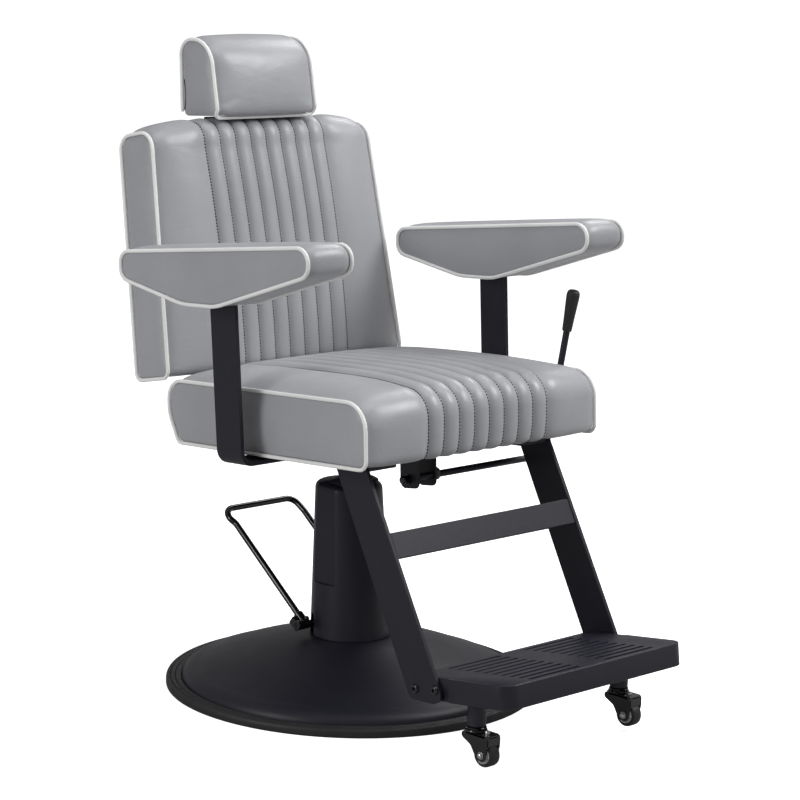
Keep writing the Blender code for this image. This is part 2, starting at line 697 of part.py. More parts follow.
def foot_parts(mats, axes, board_low):
    """Two sloping side bars, a cross bar and a slotted tray that stands on two small casters."""
    top = board_low - GAP
    side_view = rounded([
        (BAR_TOP_REAR, top, 0.0), (BAR_TOP_FRONT + 0.0025, top, 0.0), (-0.424, 0.088, 0.012),
        (-0.404, 0.078, 0.012), (-0.349, 0.078, 0.012),
    ], 4)
    tab = ((0.150, BAR_TOP_FRONT + 0.004, top - BAR_THICK), (BAR_OUTER, -0.112, top))
    for side, label in ((-1, "right"), (1, "left")):
        span = sorted((side * (BAR_OUTER - BAR_THICK), side * BAR_OUTER))
        bar = new_object(f"footrest_bar_{label}", prism(side_view, *span, "X"), mats["black"], axes)
        xs = sorted((side * tab[0][0], side * tab[1][0]))
        join(bar, box((xs[0], tab[0][1], tab[0][2]), (xs[1], tab[1][1], tab[1][2])))
        for place, (y, z) in (("upper", (-0.3625, 0.0975)), ("lower", (-0.4070, 0.1020))):
            cut(bar, along_x(disc(0.0046, -0.3, 0.3, 12), y, z))
            bolt = stud(0.0043, 0.0075, side * 0.2055, side * (BAR_OUTER + GAP), side * 0.2265, 12)
            new_object(f"footrest_bolt_{label}_{place}", along_x(bolt, y, z), mats["black"], axes,
                       smooth_deg=40)
    inner = BAR_OUTER - BAR_THICK - GAP
    cross = [(-0.3005, 0.3450), (-0.2935, 0.3417), (-0.3120, 0.3015), (-0.3190, 0.3048)]
    new_object("footrest_crossbar", prism(cross, -inner, inner, "X"), mats["black"], axes)
    return foot_plate(mats, axes)


def foot_plate(mats, axes):
    """A tray with a turned-down rim, drawn level and then tilted about its front top edge."""
    inner = BAR_OUTER - BAR_THICK - GAP
    sheet = 0.0035
    rim = 0.003

    def plan(inset):
        wide = FOOT_PLATE_HALF - inset
        narrow = inner - inset
        step = FOOT_PLATE_WIDE - inset
        depth = FOOT_PLATE_DEPTH - inset
        front = 0.028 - inset
        return rounded([(-wide, inset, front), (wide, inset, front), (wide, step, 0.0), (narrow, step, 0.0),
                        (narrow, depth, 0.003), (-narrow, depth, 0.003), (-narrow, step, 0.0),
                        (-wide, step, 0.0)], 5)

    outline = plan(0.0)
    hollow = plan(rim)
    tray = new_object("foot_plate", prism(outline, -FOOT_PLATE_HEIGHT, 0.0), mats["black"])
    cut(tray, prism(hollow, -FOOT_PLATE_HEIGHT - 0.01, -sheet))
    for side in (-1, 1):
        doubler = sorted((side * (inner - 0.0105), side * (inner - 0.001)))
        join(tray, box((doubler[0], 0.146, -FOOT_PLATE_HEIGHT + 0.002), (doubler[1], 0.209, -0.002)))
    for side in (-1, 1):
        for row in range(10):
            y = 0.016 + 0.0198 * row
            slot = box((min(side * 0.029, side * 0.152), y - 0.004, -0.02),
                       (max(side * 0.029, side * 0.152), y + 0.004, 0.02))
            cut(tray, slot)
    tilt = Matrix.Rotation(math.radians(-FOOT_PLATE_TILT_DEG), 4, "X")
    shift = Matrix.Translation((0.0, FOOT_PLATE_FRONT, FOOT_PLATE_TOP))
    tray.data.transform(shift @ tilt)
    tray.parent = axes
    for y, z in ((-0.3625, 0.0975), (-0.4070, 0.1020)):
        for side in (-1, 1):
            hole = along_x(disc(0.0046, *sorted((side * 0.19, side * 0.23)), 12), y, z)
            cut(tray, hole)
    return tray


def casters(mats, tray):
    """Two swivel casters on posts under the tray's front corners; the wheels trail behind the stems."""
    x0, y0, z0 = WHEEL_CENTRE
    stem_y = y0 + CASTER_TRAIL
    made = {}
    for side, label in ((-1, "right"), (1, "left")):
        x = side * x0
        join(tray, at(disc(CASTER_POST_RADIUS, CASTER_POST_FOOT, 0.1515, 20), x, stem_y), level=True)
        crown = at(disc(0.0135, 0.0600, CASTER_POST_FOOT - GAP, 20), x, stem_y)
        fork = new_object(f"caster_fork_{label}", crown, mats["gloss"], smooth_deg=40)
        join(fork, at(box((-0.0152, -0.039, 0.0590), (0.0152, 0.014, 0.0620)), x, stem_y))
        cheek = rounded([(0.014, 0.0615, 0.004), (-0.039, 0.0615, 0.004), (-0.039, 0.0450, 0.006),
                         (-0.032, z0 - 0.007, 0.006), (-0.018, z0 - 0.007, 0.006), (0.012, 0.0540, 0.006)], 3)
        for face in (-1, 1):
            span = sorted((face * 0.0124, face * 0.0152))
            join(fork, at(prism(cheek, *span, "X"), x, stem_y))
        join(fork, at(along_x(disc(0.0030, -0.0172, 0.0172, 12)), x, y0, z0))
        tyre = new_object(
            f"caster_tyre_{label}",
            at(along_x(turned([(0.0146, -0.0105), (0.0185, -0.0105), (WHEEL_RADIUS, -0.0080),
                               (WHEEL_RADIUS, 0.0080), (0.0185, 0.0105), (0.0146, 0.0105)], 24)), x, y0, z0),
            mats["rubber"], smooth_deg=40)
        hub = new_object(f"caster_hub_{label}",
                         at(along_x(tube(0.0033, 0.0143, -0.0110, 0.0110, 24)), x, y0, z0),
                         mats["steel"], smooth_deg=40)
        made[label] = (fork, tyre, hub, (x, stem_y, 0.0), (x, y0, z0))
    for label, (fork, tyre, hub, stem, centre) in made.items():
        swivel = axis_empty(f"caster_swivel_{label}", stem)
        spin = axis_empty(f"caster_axle_{label}", Vector(centre) - Vector(stem), swivel)
        hang([fork], swivel, stem)
        hang([tyre, hub], spin, centre)


# ---------------------------------------------------------------- recline lever, strut and backrest


def lever_parts(mats, axes, frame_low):
    """A bent rod lever turns in a two-plate bracket, and its finger pulls the strut's release cable."""
    top = frame_low - GAP
    plate = rounded([(-0.1755, top, 0.0), (-0.1755, 0.379, 0.010),
                     (-0.1310, 0.376, 0.012), (-0.1310, top, 0.0)], 3)
    bracket = new_object("recline_bracket", prism(plate, -0.0260, -0.0220, "X"), mats["black"], axes)
    join(bracket, prism(plate, 0.0150, 0.0190, "X"))
    join(bracket, box((-0.0260, -0.1755, top - 0.004), (0.0190, -0.1310, top)))
    cut(bracket, along_x(disc(LEVER_ROD_RADIUS + GAP, -0.05, 0.05), LEVER_Y, LEVER_Z))
    cut(bracket, along_x(disc(0.0043, -0.05, 0.05), -0.1500, 0.3930))
    pin = stud(0.0040, 0.0075, 0.0190, -0.0285, -0.0420)
    new_object("recline_bracket_pin", along_x(pin, -0.1500, 0.3930), mats["steel"], axes, smooth_deg=40)

    axis = Vector((0.0, LEVER_Y, LEVER_Z))
    lean = Vector((0.0, -0.238, 0.971)).normalized()
    corner = Vector((LEVER_X, 0.0, 0.0))
    path = filleted([Vector((-0.018, 0.0, 0.0)), corner, corner + lean * 0.2365], 0.018, 5)
    path = [point + axis for point in path]
    rod = swept(path, LEVER_ROD_RADIUS, "recline_lever", mats["black"], None)
    grip_profile = [(0.0, 0.2368), (0.0080, 0.2368), (0.0087, 0.2395), (0.0100, 0.2680), (0.0118, 0.2995),
                    (0.0116, 0.3060), (0.0086, 0.3100), (0.0, 0.3106)]
    grip = new_object("recline_grip",
                      moved(turned(grip_profile, 20, closed=False), axes_along(axis + corner, lean)),
                      mats["rubber"], smooth_deg=50)
    finger = rounded([(-0.0095, -0.0095, 0.0085), (-0.0095, 0.0095, 0.0060), (0.030, 0.024, 0.003),
                      (0.030, 0.015, 0.003), (0.010, -0.0095, 0.004)], 3)
    cam = new_object("recline_cam", prism(finger, 0.0195, 0.0275, "X"), mats["cast"])
    cut(cam, along_x(disc(LEVER_ROD_RADIUS + GAP, 0.01, 0.04)))
    cam.data.transform(Matrix.Translation(axis))
    hinge = axis_empty("lever_axis", axis, axes)
    hang([rod, grip, cam], hinge, axis)


def axes_along(origin, along):
    """A placement with its origin at a point, its Z axis along a direction across X, and X kept."""
    across = Vector((1.0, 0.0, 0.0))
    third = along.normalized()
    turn = Matrix((across, third.cross(across), third)).transposed().to_4x4()
    return Matrix.Translation(origin) @ turn


def strut_parts(mats, axes, frame, frame_low):
    """The gas strut lies beside the swivel head, from the seat frame to the backrest's lower arm."""
    front = Vector((STRUT_X, *STRUT_FRONT))
    rear = Vector((STRUT_X, *STRUT_REAR))
    length = (rear - front).length
    seat = axes_along(front, rear - front)
    fork = axes_along(rear, rear - front)
    join(frame, box((STRUT_X - 0.010, -0.098, 0.4105), (STRUT_X + 0.010, -0.0845, frame_low + 0.002)))
    cut(frame, moved(disc(0.0048, -0.03, 0.03), seat))
    barrel = turned([(0.0047, 0.012), (0.0110, 0.012), (0.0110, 0.206), (0.0047, 0.206)], 20)
    new_object("strut_cylinder", moved(barrel, seat), mats["black"], axes, smooth_deg=40)
    rod = new_object("strut_rod", moved(disc(0.0044, 0.100, length - 0.026), seat), mats["steel"], axes,
                     smooth_deg=40)
    eye = rounded([(-0.011, -0.030, 0.004), (0.011, -0.030, 0.004), (0.011, 0.008, 0.0075),
                   (-0.011, 0.008, 0.0075)], 3)
    join(rod, moved(prism(eye, -0.0100, 0.0100, "X"), fork))
    cut(rod, moved(box((-0.0055, -0.02, -0.0225), (0.0055, 0.02, 0.02)), fork))
    join(rod, moved(along_x(disc(0.0036, -0.0095, 0.0095, 12)), fork))


def back_axes(axes):
    """Axes of the backrest: origin at its front lower edge, z up along its leaning face."""
    lean = math.radians(BACK_LEAN_DEG)
    return Matrix.Translation((0.0, BACK_ORIGIN_Y, BACK_ORIGIN_Z)) @ Matrix.Rotation(-lean, 4, "X")


def back_parts(mats, axes):
    lean = back_axes(axes)
    outline = subdivided(rounded([
        (BACK_THICK, 0.002, 0.010), (BACK_THICK, BACK_HEIGHT, 0.026),
        (0.0, BACK_HEIGHT, 0.028), (0.0, 0.002, 0.012),
    ], 4), 0.08)

    def place(share, depth, height):
        half = BACK_HALF_BOTTOM + (BACK_HALF_TOP - BACK_HALF_BOTTOM) * height / BACK_HEIGHT
        swell = 1.0 - abs(share) ** 3
        push = 0.0
        if depth < 0.02 and 0.02 < height < BACK_HEIGHT - 0.02:
            push = 0.016 * swell * (1.0 - ((height / BACK_HEIGHT - 0.45) / 0.55) ** 2)
        return (share * half, depth - push, height)

    stations = (-1.0, -0.9, -0.5, 0.0, 0.5, 0.9, 1.0)
    cushion = new_object("back_cushion", moved(lofted(outline, stations, place), lean), mats["leather"],
                         smooth_deg=50)
    pocket_depth = 0.036
    panel_depth = 0.007
    pocket = (0.215, 0.030, 0.385)
    cut(cushion, moved(box((-pocket[0], BACK_THICK - pocket_depth, pocket[1]),
                           (pocket[0], BACK_THICK + 0.02, pocket[2])), lean))
    cut(cushion, moved(box((-0.152, BACK_THICK - pocket_depth, -0.05),
                           (0.152, BACK_THICK - panel_depth - 0.002, 0.05)), lean))
    guide_half = (0.0285, 0.0120)
    guide_depth = BACK_THICK - pocket_depth + 0.014
    slack = (guide_half[0] + GAP, guide_half[1] + GAP)
    cut(cushion, moved(box((-slack[0], guide_depth - slack[1], 0.30),
                           (slack[0], guide_depth + slack[1], BACK_HEIGHT + 0.05)), lean))
    panel = new_object("back_rear_panel", moved(
        box((-pocket[0] + 0.002, BACK_THICK - panel_depth, pocket[1] + 0.002),
            (pocket[0] - 0.002, BACK_THICK - 0.0005, pocket[2] - 0.002)), lean), mats["leather"])

    plate_front = BACK_THICK - pocket_depth + 0.001
    frame = new_object("back_frame", moved(
        box((-0.190, plate_front, 0.040), (0.190, plate_front + 0.005, 0.290)), lean), mats["black"])
    pivot = Vector((0.0, RECLINE_Y, RECLINE_Z))
    for side in (-1, 1):
        span = sorted((side * (0.1325 + 2 * GAP), side * 0.1405))
        arm = rounded([(0.211, RECLINE_Z - 0.014, 0.013), (0.239, RECLINE_Z - 0.014, 0.013),
                       (0.259, 0.575, 0.003), (0.2385, 0.575, 0.003),
                       (0.237, 0.552, 0.004), (0.211, 0.517, 0.012)], 3)
        join(frame, prism(arm, *span, "X"))
        rib = box((span[0], plate_front + 0.003, 0.004), (span[1], plate_front + 0.022, 0.289))
        join(frame, moved(rib, lean))
        cut(frame, along_x(disc(0.0063, *sorted((side * 0.12, side * 0.15))), RECLINE_Y, RECLINE_Z))
    cross = along_x(disc(0.0110, -0.1338, 0.1338), 0.2430, 0.5440)
    join(frame, cross)
    lever = rounded([(0.2585, 0.572, 0.004), (0.2380, 0.572, 0.004), (0.2300, 0.5000, 0.040),
                     (0.2440, 0.3880, 0.015), (0.2790, 0.3915, 0.015), (0.2560, 0.5000, 0.030)], 4)
    join(frame, prism(lever, STRUT_X - 0.004, STRUT_X + 0.004, "X"))
    eye_y, eye_z = STRUT_REAR
    cut(frame, along_x(disc(STRUT_EYE_RADIUS, STRUT_X - 0.02, STRUT_X + 0.02), eye_y, eye_z + STRUT_EYE_RISE))

    guide = new_object("headrest_guide", moved(
        box((-guide_half[0], guide_depth - guide_half[1], 0.2906),
            (guide_half[0], guide_depth + guide_half[1], BACK_HEIGHT - 0.004)), lean), mats["black"])
    cut(guide, moved(box((-0.0215, guide_depth - 0.0055, 0.20), (0.0215, guide_depth + 0.0055, 0.60)), lean))
    head_parts(mats, axes, lean, guide_depth)
    hinge = axis_empty("recline_axis", pivot, axes)
    hang([cushion, panel, frame, guide], hinge, pivot)


def head_parts(mats, axes, lean, guide_depth):
    outline = subdivided(rounded([
        (0.322, 1.009, 0.012), (0.322, 1.147, 0.026), (0.243, 1.147, 0.046), (0.221, 1.009, 0.012),
    ], 5), 0.05)

    def place(share, y, z):
        swell = 1.0 - abs(share) ** 3
        push = 0.010 * swell if y < 0.262 and z > 1.02 else 0.0
        rise = 0.005 * swell if z > 1.12 else 0.0
        return (share * HEADREST_HALF_WIDTH, y - push, z + rise)

    cushion = new_object("headrest_cushion",
                         lofted(outline, (-1.0, -0.92, -0.5, 0.0, 0.5, 0.92, 1.0), place),
                         mats["leather"], smooth_deg=50)
    low = 0.150
    bar = new_object("headrest_bar", moved(
        box((-0.0200, guide_depth - 0.0045, low), (0.0200, guide_depth + 0.0045, 0.455)), lean),
        mats["black"])
    tab = box((-0.070, 0.235, 1.0047), (0.070, 0.3175, 1.0087))
    join(bar, tab)
    slide = axis_empty("headrest_axis", (0.0, RECLINE_Y, RECLINE_Z), axes)
    hang([cushion, bar], slide, (0.0, RECLINE_Y, RECLINE_Z))


# ---------------------------------------------------------------- assembly


def main():
    for old in list(bpy.data.objects):
        bpy.data.objects.remove(old)
    mats = make_materials()
    base_parts(mats)
    pedal_assembly(mats)
    lift_parts(mats)
    axes = seat_axes()
    board_low = SEAT_UNDERSIDE - GAP - BOARD_THICK
    frame, frame_low = seat_frame_parts(mats, axes, board_low)
    swivel_head(mats, frame_low)
    seat_cushion(mats, axes)
    arm_parts(mats, axes, board_low)
    tray = foot_parts(mats, axes, board_low)
    casters(mats, tray)
    lever_parts(mats, axes, frame_low)
    strut_parts(mats, axes, frame, frame_low)
    back_parts(mats, axes)


main()
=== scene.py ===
"""The looks of a hydraulic barber chair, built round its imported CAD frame.

Metres, +Z up, in the frame's own axes: the chair faces -Y and +X is the sitter's left. Seat pieces are drawn
in the seat's axes (x across, y back, z up, heights counted from the floor), which lean back a few degrees.
"""

import json
import math

import bmesh
import bpy
import numpy as np
from mathutils import Matrix, Vector

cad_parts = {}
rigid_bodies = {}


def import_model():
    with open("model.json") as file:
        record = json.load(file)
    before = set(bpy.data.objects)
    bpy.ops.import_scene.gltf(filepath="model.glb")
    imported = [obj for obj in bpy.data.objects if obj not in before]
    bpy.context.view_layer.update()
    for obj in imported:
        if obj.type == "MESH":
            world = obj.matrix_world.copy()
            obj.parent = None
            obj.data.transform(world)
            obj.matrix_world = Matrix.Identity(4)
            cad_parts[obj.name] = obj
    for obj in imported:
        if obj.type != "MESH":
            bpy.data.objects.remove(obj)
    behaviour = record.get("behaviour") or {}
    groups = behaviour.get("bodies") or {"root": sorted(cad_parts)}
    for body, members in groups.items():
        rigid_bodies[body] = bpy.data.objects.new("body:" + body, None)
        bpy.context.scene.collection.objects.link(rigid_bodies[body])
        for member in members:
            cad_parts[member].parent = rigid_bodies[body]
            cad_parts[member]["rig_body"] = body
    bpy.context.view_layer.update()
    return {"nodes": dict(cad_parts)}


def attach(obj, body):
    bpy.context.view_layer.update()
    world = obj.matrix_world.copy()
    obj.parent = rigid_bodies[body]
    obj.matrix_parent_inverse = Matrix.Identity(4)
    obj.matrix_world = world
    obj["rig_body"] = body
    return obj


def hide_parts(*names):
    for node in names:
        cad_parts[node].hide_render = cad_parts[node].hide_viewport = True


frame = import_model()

SCENE = bpy.context.scene
SIDES = ((-1, "right"), (1, "left"))


def rotation(degrees, axis):
    return Matrix.Rotation(math.radians(degrees), 4, axis)


# ---- driving dimensions, as in the CAD model

SEAT_TILT = math.radians(3.54)
SEAT_TILT_HEIGHT = 0.5
SEAT_AXES = (Matrix.Translation((0.0, -SEAT_TILT_HEIGHT * math.sin(SEAT_TILT),
                                 SEAT_TILT_HEIGHT * (1.0 - math.cos(SEAT_TILT))))
             @ Matrix.Rotation(-SEAT_TILT, 4, "X"))
BACK_LEAN = 8.0
BACK_AXES = SEAT_AXES @ Matrix.Translation((0.0, 0.178, 0.565)) @ rotation(-BACK_LEAN, "X")
WORLD_AXES = Matrix.Identity(4)

SEAT_HALF_WIDTH = 0.277
SEAT_FRONT = -0.3105
SEAT_REAR = 0.1845
SEAT_UNDERSIDE = 0.4555
SEAT_TOP = 0.5635
BACK_HEIGHT = 0.43
BACK_THICK = 0.088
BACK_HALF_BOTTOM = 0.282
BACK_HALF_TOP = 0.2575
HEADREST_HALF_WIDTH = 0.118
ARM_OUTER = 0.376
ARM_INNER = 0.279
UNDER_BOARD = 0.448              # where steel parts meet the seat board's underside
POST_OUTER = 0.324
POST_THICK = 0.008
POST_FRONT = -0.0605
POST_BACK = 0.0025
POST_LEAN = math.tan(math.radians(1.2))
POST_SPLAY = math.tan(math.radians(0.7))
BAR_OUTER = 0.223
BAR_THICK = 0.008
BAR_INNER = BAR_OUTER - BAR_THICK - 0.0003

SEAM_EDGE = 0.142                # the outer seams of the channelled middle
CHANNELS = 8
CHANNEL_PUFF = 0.0072
PIPING_RADIUS = 0.0033
PIPING_TUCK = 0.0015             # how far inside the CAD's side faces the piping runs
PIPING_INSET = 0.0026            # how far the covers tuck in beside the piping
STITCH_RISE = 0.0008

# ---- materials


class Look:
    """A node material round its Principled shader, with helpers that add and link nodes."""

    def __init__(self, name, sockets=None):
        self.made = bpy.data.materials.new(name)
        self.made.use_nodes = True
        self.tree = self.made.node_tree
        self.shader = self.tree.nodes["Principled BSDF"]
        self.coords = self.add("TexCoord").outputs["Object"]
        for socket, value in (sockets or {}).items():
            self.shader.inputs[socket].default_value = value

    def add(self, kind, values=None, links=None):
        """A node. A value whose name the node itself has is set on it, and any other on its socket."""
        node = self.tree.nodes.new("ShaderNode" + kind)
        for key, value in (values or {}).items():
            if hasattr(node, key):
                setattr(node, key, value)
            else:
                node.inputs[key].default_value = value
        for key, source in (links or {}).items():
            self.tree.links.new(source, node.inputs[key])
        return node

    def feed(self, socket, source):
        self.tree.links.new(source, self.shader.inputs[socket])

    def texture(self, kind, values, output="Distance", coords=None):
        where = self.coords if coords is None else coords
        return self.add(kind, values, {"Vector": where}).outputs[output]

    def noise(self, scale, detail, coords=None, distortion=0.0):
        values = {"Scale": scale, "Detail": detail, "Distortion": distortion}
        return self.texture("TexNoise", values, "Fac", coords)

    def stretched(self, scale):
        return self.texture("Mapping", {"Scale": scale}, "Vector")

    def mapped(self, source, low, high, start=0.3, end=0.7):
        """A value, mapped from start..end to low..high."""
        values = {"From Min": start, "From Max": end, "To Min": low, "To Max": high}
        return self.add("MapRange", values, {"Value": source}).outputs["Result"]

    def varied(self, scale, low, high, detail=3.0):
        """A noise, mapped to a range of values."""
        return self.mapped(self.noise(scale, detail), low, high)

    def mix(self, factor, first, second):
        values = {"data_type": "RGBA", "A": (*first, 1.0), "B": (*second, 1.0)}
        return self.add("Mix", values, {"Factor": factor}).outputs["Result"]

    def bump(self, strength, distance, height, **below):
        links = {"Height": height, **below}
        return self.add("Bump", {"Strength": strength, "Distance": distance}, links).outputs["Normal"]


def tinted(colour, share, more=0.0):
    return tuple(min(c * share + more, 1.0) for c in colour)


def leather_material(name, colour, roughness, grain=1.0):
    """Coated leather: fine pebbled grain, faint creases and slightly uneven colour and gloss."""
    look = Look(name, {"Specular IOR Level": 0.45})
    base = look.mix(look.varied(7.0, 0.0, 1.0), tinted(colour, 0.94), tinted(colour, 1.05))
    pebble = look.texture("TexVoronoi", {"feature": "SMOOTH_F1", "Scale": 620.0, "Smoothness": 0.6})
    pores = look.mapped(pebble, 0.0, 1.0, 0.0, 0.6)
    shade = look.add("Mix", {"data_type": "RGBA", "blend_type": "MULTIPLY", "Factor": 0.1 * grain},
                     {"A": base, "B": pores})
    look.feed("Base Color", shade.outputs["Result"])
    look.feed("Roughness", look.varied(40.0, roughness - 0.04, roughness + 0.06))
    creases = look.noise(1.6, 4.0, look.stretched((14.0, 30.0, 34.0)), 0.6)
    broad = look.bump(0.22, 0.003, creases)
    look.feed("Normal", look.bump(0.3 * grain, 0.00035, pebble, Normal=broad))
    return look.made


def coated_metal(name, colour, roughness, peel=0.35, coat=0.0):
    """Painted or powder-coated steel: fine orange peel, uneven gloss and faint rubbed corners."""
    look = Look(name, {"Coat Weight": coat, "Coat Roughness": 0.06, "Specular IOR Level": 0.35})
    rubbed = look.mapped(look.add("NewGeometry").outputs["Pointiness"], 0.0, 0.35, 0.53, 0.62)
    scuffs = look.varied(90.0, 0.0, 1.0, 6.0)
    wear = look.add("Math", {"operation": "MULTIPLY"}, {0: rubbed, 1: scuffs})
    look.feed("Base Color", look.mix(wear.outputs["Value"], colour, tinted(colour, 3.0, 0.02)))
    look.feed("Roughness", look.varied(25.0, roughness - 0.02, roughness + 0.03, 5.0))
    look.feed("Normal", look.bump(peel, 0.00012, look.noise(900.0, 2.0)))
    return look.made


def bare_metal(name, colour, roughness, brush=(1.0, 1.0, 60.0), strength=0.25):
    """Bright or cast metal with brushed or cast marks."""
    look = Look(name, {"Metallic": 1.0})
    marks = look.noise(40.0, 6.0, look.stretched(brush))
    look.feed("Base Color", look.mix(look.varied(30.0, 0.0, 1.0), tinted(colour, 0.85), colour))
    look.feed("Roughness", look.mapped(marks, roughness - 0.06, roughness + 0.08))
    look.feed("Normal", look.bump(strength, 0.0001, marks))
    return look.made


def rubber_material(name, colour, roughness):
    """Moulded rubber: dull, with a fine stipple and dust in the hollows."""
    look = Look(name)
    look.feed("Base Color", look.mix(look.varied(18.0, 0.0, 1.0, 6.0), colour, tinted(colour, 1.0, 0.006)))
    look.feed("Roughness", look.varied(60.0, roughness - 0.06, roughness + 0.08))
    look.feed("Normal", look.bump(0.25, 0.0001, look.texture("TexVoronoi", {"Scale": 1100.0})))
    return look.made


def thread_material(name, colour):
    """Twisted sewing thread."""
    look = Look(name, {"Roughness": 0.7})
    twist = look.texture("TexWave", {"Scale": 900.0, "Distortion": 1.0, "bands_direction": "DIAGONAL"}, "Fac")
    look.feed("Base Color", look.mix(twist, tinted(colour, 0.7), colour))
    look.feed("Normal", look.bump(0.4, 0.0002, twist))
    return look.made


WORLD_LIGHT = 0.3
FLOOR_GLOW = 0.82
LIGHTS = (
    # name, direction, distance, size, radiance
    ("key", (0.58, -0.6, 0.72), 4.2, (2.0, 1.6), 10.4),
    ("top", (0.0, -0.2, 1.0), 3.4, (2.2, 1.8), 2.8),
    ("rim", (0.69, 0.2, 0.68), 3.8, (1.4, 1.0), 6.5),
    ("side", (-1.0, 0.12, 0.3), 4.0, (1.2, 2.0), 6.4),
)


def floor_material():
    """A plain pale floor that the camera sees glow a little, so that it stays white out to the horizon."""
    look = Look("pale_floor", {"Roughness": 0.9, "Specular IOR Level": 0.1,
                               "Emission Color": (1.0, 1.0, 1.0, 1.0)})
    seen = look.add("LightPath").outputs["Is Camera Ray"]
    pale = look.mix(look.varied(0.8, 0.0, 1.0), (0.84, 0.84, 0.84), (0.86, 0.86, 0.86))
    bounce = look.add("Mix", {"data_type": "RGBA", "A": (0.4, 0.4, 0.4, 1.0)}, {"Factor": seen, "B": pale})
    look.feed("Base Color", bounce.outputs["Result"])
    look.feed("Emission Strength", look.mapped(seen, 0.05, FLOOR_GLOW, 0.0, 1.0))
    return look.made


LEATHER = leather_material("grey_leather", (0.385, 0.389, 0.41), 0.34)
PIPING = leather_material("white_piping", (0.92, 0.92, 0.91), 0.4, grain=0.4)
BLACK = coated_metal("black_powder_coat", (0.012, 0.012, 0.02), 0.4)
DOME_BLACK = coated_metal("black_base_coat", (0.014, 0.014, 0.0225), 0.46)
GLOSS = coated_metal("gloss_black", (0.005, 0.005, 0.007), 0.16, peel=0.08, coat=0.5)
BOARD = coated_metal("painted_board", (0.012, 0.012, 0.012), 0.6, peel=0.6)
STEEL = bare_metal("bright_steel", (0.62, 0.62, 0.63), 0.28)
CAST = bare_metal("cast_metal", (0.14, 0.14, 0.145), 0.55, brush=(6.0, 6.0, 6.0), strength=0.8)
RUBBER = rubber_material("black_rubber", (0.01, 0.01, 0.012), 0.55)
# Near-black thread: partly the thread's own dark colour, partly painted shade standing in for the dark stitch
# holes.
THREAD_DARKENED_AS_HOLE_SHADE = thread_material("thread_painted_hole_shade", (0.016, 0.016, 0.019))

# ---- making pieces


def new_object(name, data):
    made = bpy.data.objects.new(name, data)
    SCENE.collection.objects.link(made)
    return made


def evaluated_mesh(piece):
    """A new mesh with the piece's modifiers applied."""
    bpy.context.view_layer.update()
    return bpy.data.meshes.new_from_object(piece.evaluated_get(bpy.context.evaluated_depsgraph_get()))


def to_mesh(name, maker, axes=WORLD_AXES):
    """Turns a bmesh, drawn in some axes, into a mesh in the frame's axes, with its faces pointing out."""
    bmesh.ops.transform(maker, matrix=axes, verts=maker.verts)
    bmesh.ops.recalc_face_normals(maker, faces=maker.faces)
    mesh = bpy.data.meshes.new(name)
    maker.to_mesh(mesh)
    maker.free()
    return mesh


def solid(name, maker, material, body, replaces=(), axes=WORLD_AXES, bevel=0.0, segments=3, smooth_deg=35.0):
    """A finished piece that rides on a body and may stand for CAD nodes. A bevel rounds its sharp edges."""
    mesh = to_mesh(name, maker, axes)
    mesh.materials.append(material)
    mesh.shade_smooth()
    mesh.set_sharp_from_angle(angle=math.radians(smooth_deg))
    made = new_object(name, mesh)
    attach(made, body)
    if replaces:
        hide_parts(*replaces)
    if bevel:
        rounding = made.modifiers.new("bevel", "BEVEL")
        rounding.width = bevel
        rounding.segments = segments
        rounding.harden_normals = True
    return made


def bridge(maker, ring_a, ring_b):
    """Quads between two closed rings of the same length."""
    count = len(ring_a)
    for i in range(count):
        j = (i + 1) % count
        maker.faces.new((ring_a[i], ring_a[j], ring_b[j], ring_b[i]))


def turned(profile, facets=64, closed=False):
    """A solid of revolution about Z. An open profile starts and ends on the axis."""
    maker = bmesh.new()
    rings = []
    for radius, height in profile:
        if radius < 1e-6:
            rings.append([maker.verts.new((0.0, 0.0, height))])
            continue
        turn = 2.0 * math.pi / facets
        rings.append([maker.verts.new((radius * math.cos(turn * i), radius * math.sin(turn * i), height))
                      for i in range(facets)])
    pairs = list(zip(rings, rings[1:]))
    if closed:
        pairs.append((rings[-1], rings[0]))
    for lower, upper in pairs:
        if len(lower) > 1 and len(upper) > 1:
            bridge(maker, lower, upper)
            continue
        tip, ring = (lower, upper) if len(lower) == 1 else (upper, lower)
        for i in range(facets):
            maker.faces.new((tip[0], ring[i], ring[(i + 1) % facets]))
    return maker


def disc(radius, low, high, facets=32):
    return turned([(0.0, low), (radius, low), (radius, high), (0.0, high)], facets)


def prism(shape, low, high, axis="Z"):
    """A flat outline extruded along an axis: (y, z) along X, (x, z) along Y or (x, y) along Z."""
    place = {
        "X": lambda a, b, c: (c, a, b),
        "Y": lambda a, b, c: (a, c, b),
        "Z": lambda a, b, c: (a, b, c),
    }[axis]
    maker = bmesh.new()
    start = [maker.verts.new(place(a, b, low)) for a, b in shape]
    end = [maker.verts.new(place(a, b, high)) for a, b in shape]
    maker.faces.new(start)
    maker.faces.new(list(reversed(end)))
    bridge(maker, start, end)
    return maker


def box(low, high):
    shape = [(low[0], low[1]), (high[0], low[1]), (high[0], high[1]), (low[0], high[1])]
    return prism(shape, low[2], high[2])


def moved(maker, matrix):
    bmesh.ops.transform(maker, matrix=matrix, verts=maker.verts)
    return maker


def at(maker, x=0.0, y=0.0, z=0.0):
    return moved(maker, Matrix.Translation((x, y, z)))


def along_x(maker, x=0.0, y=0.0, z=0.0):
    """Lays a shape turned about Z along the X axis."""
    return at(moved(maker, rotation(90.0, "Y")), x, y, z)


def merged(*makers):
    """Several shapes in one mesh, each still a closed shape of its own."""
    whole = bmesh.new()
    for maker in makers:
        mesh = bpy.data.meshes.new("part")
        maker.to_mesh(mesh)
        maker.free()
        whole.from_mesh(mesh)
        bpy.data.meshes.remove(mesh)
    return whole


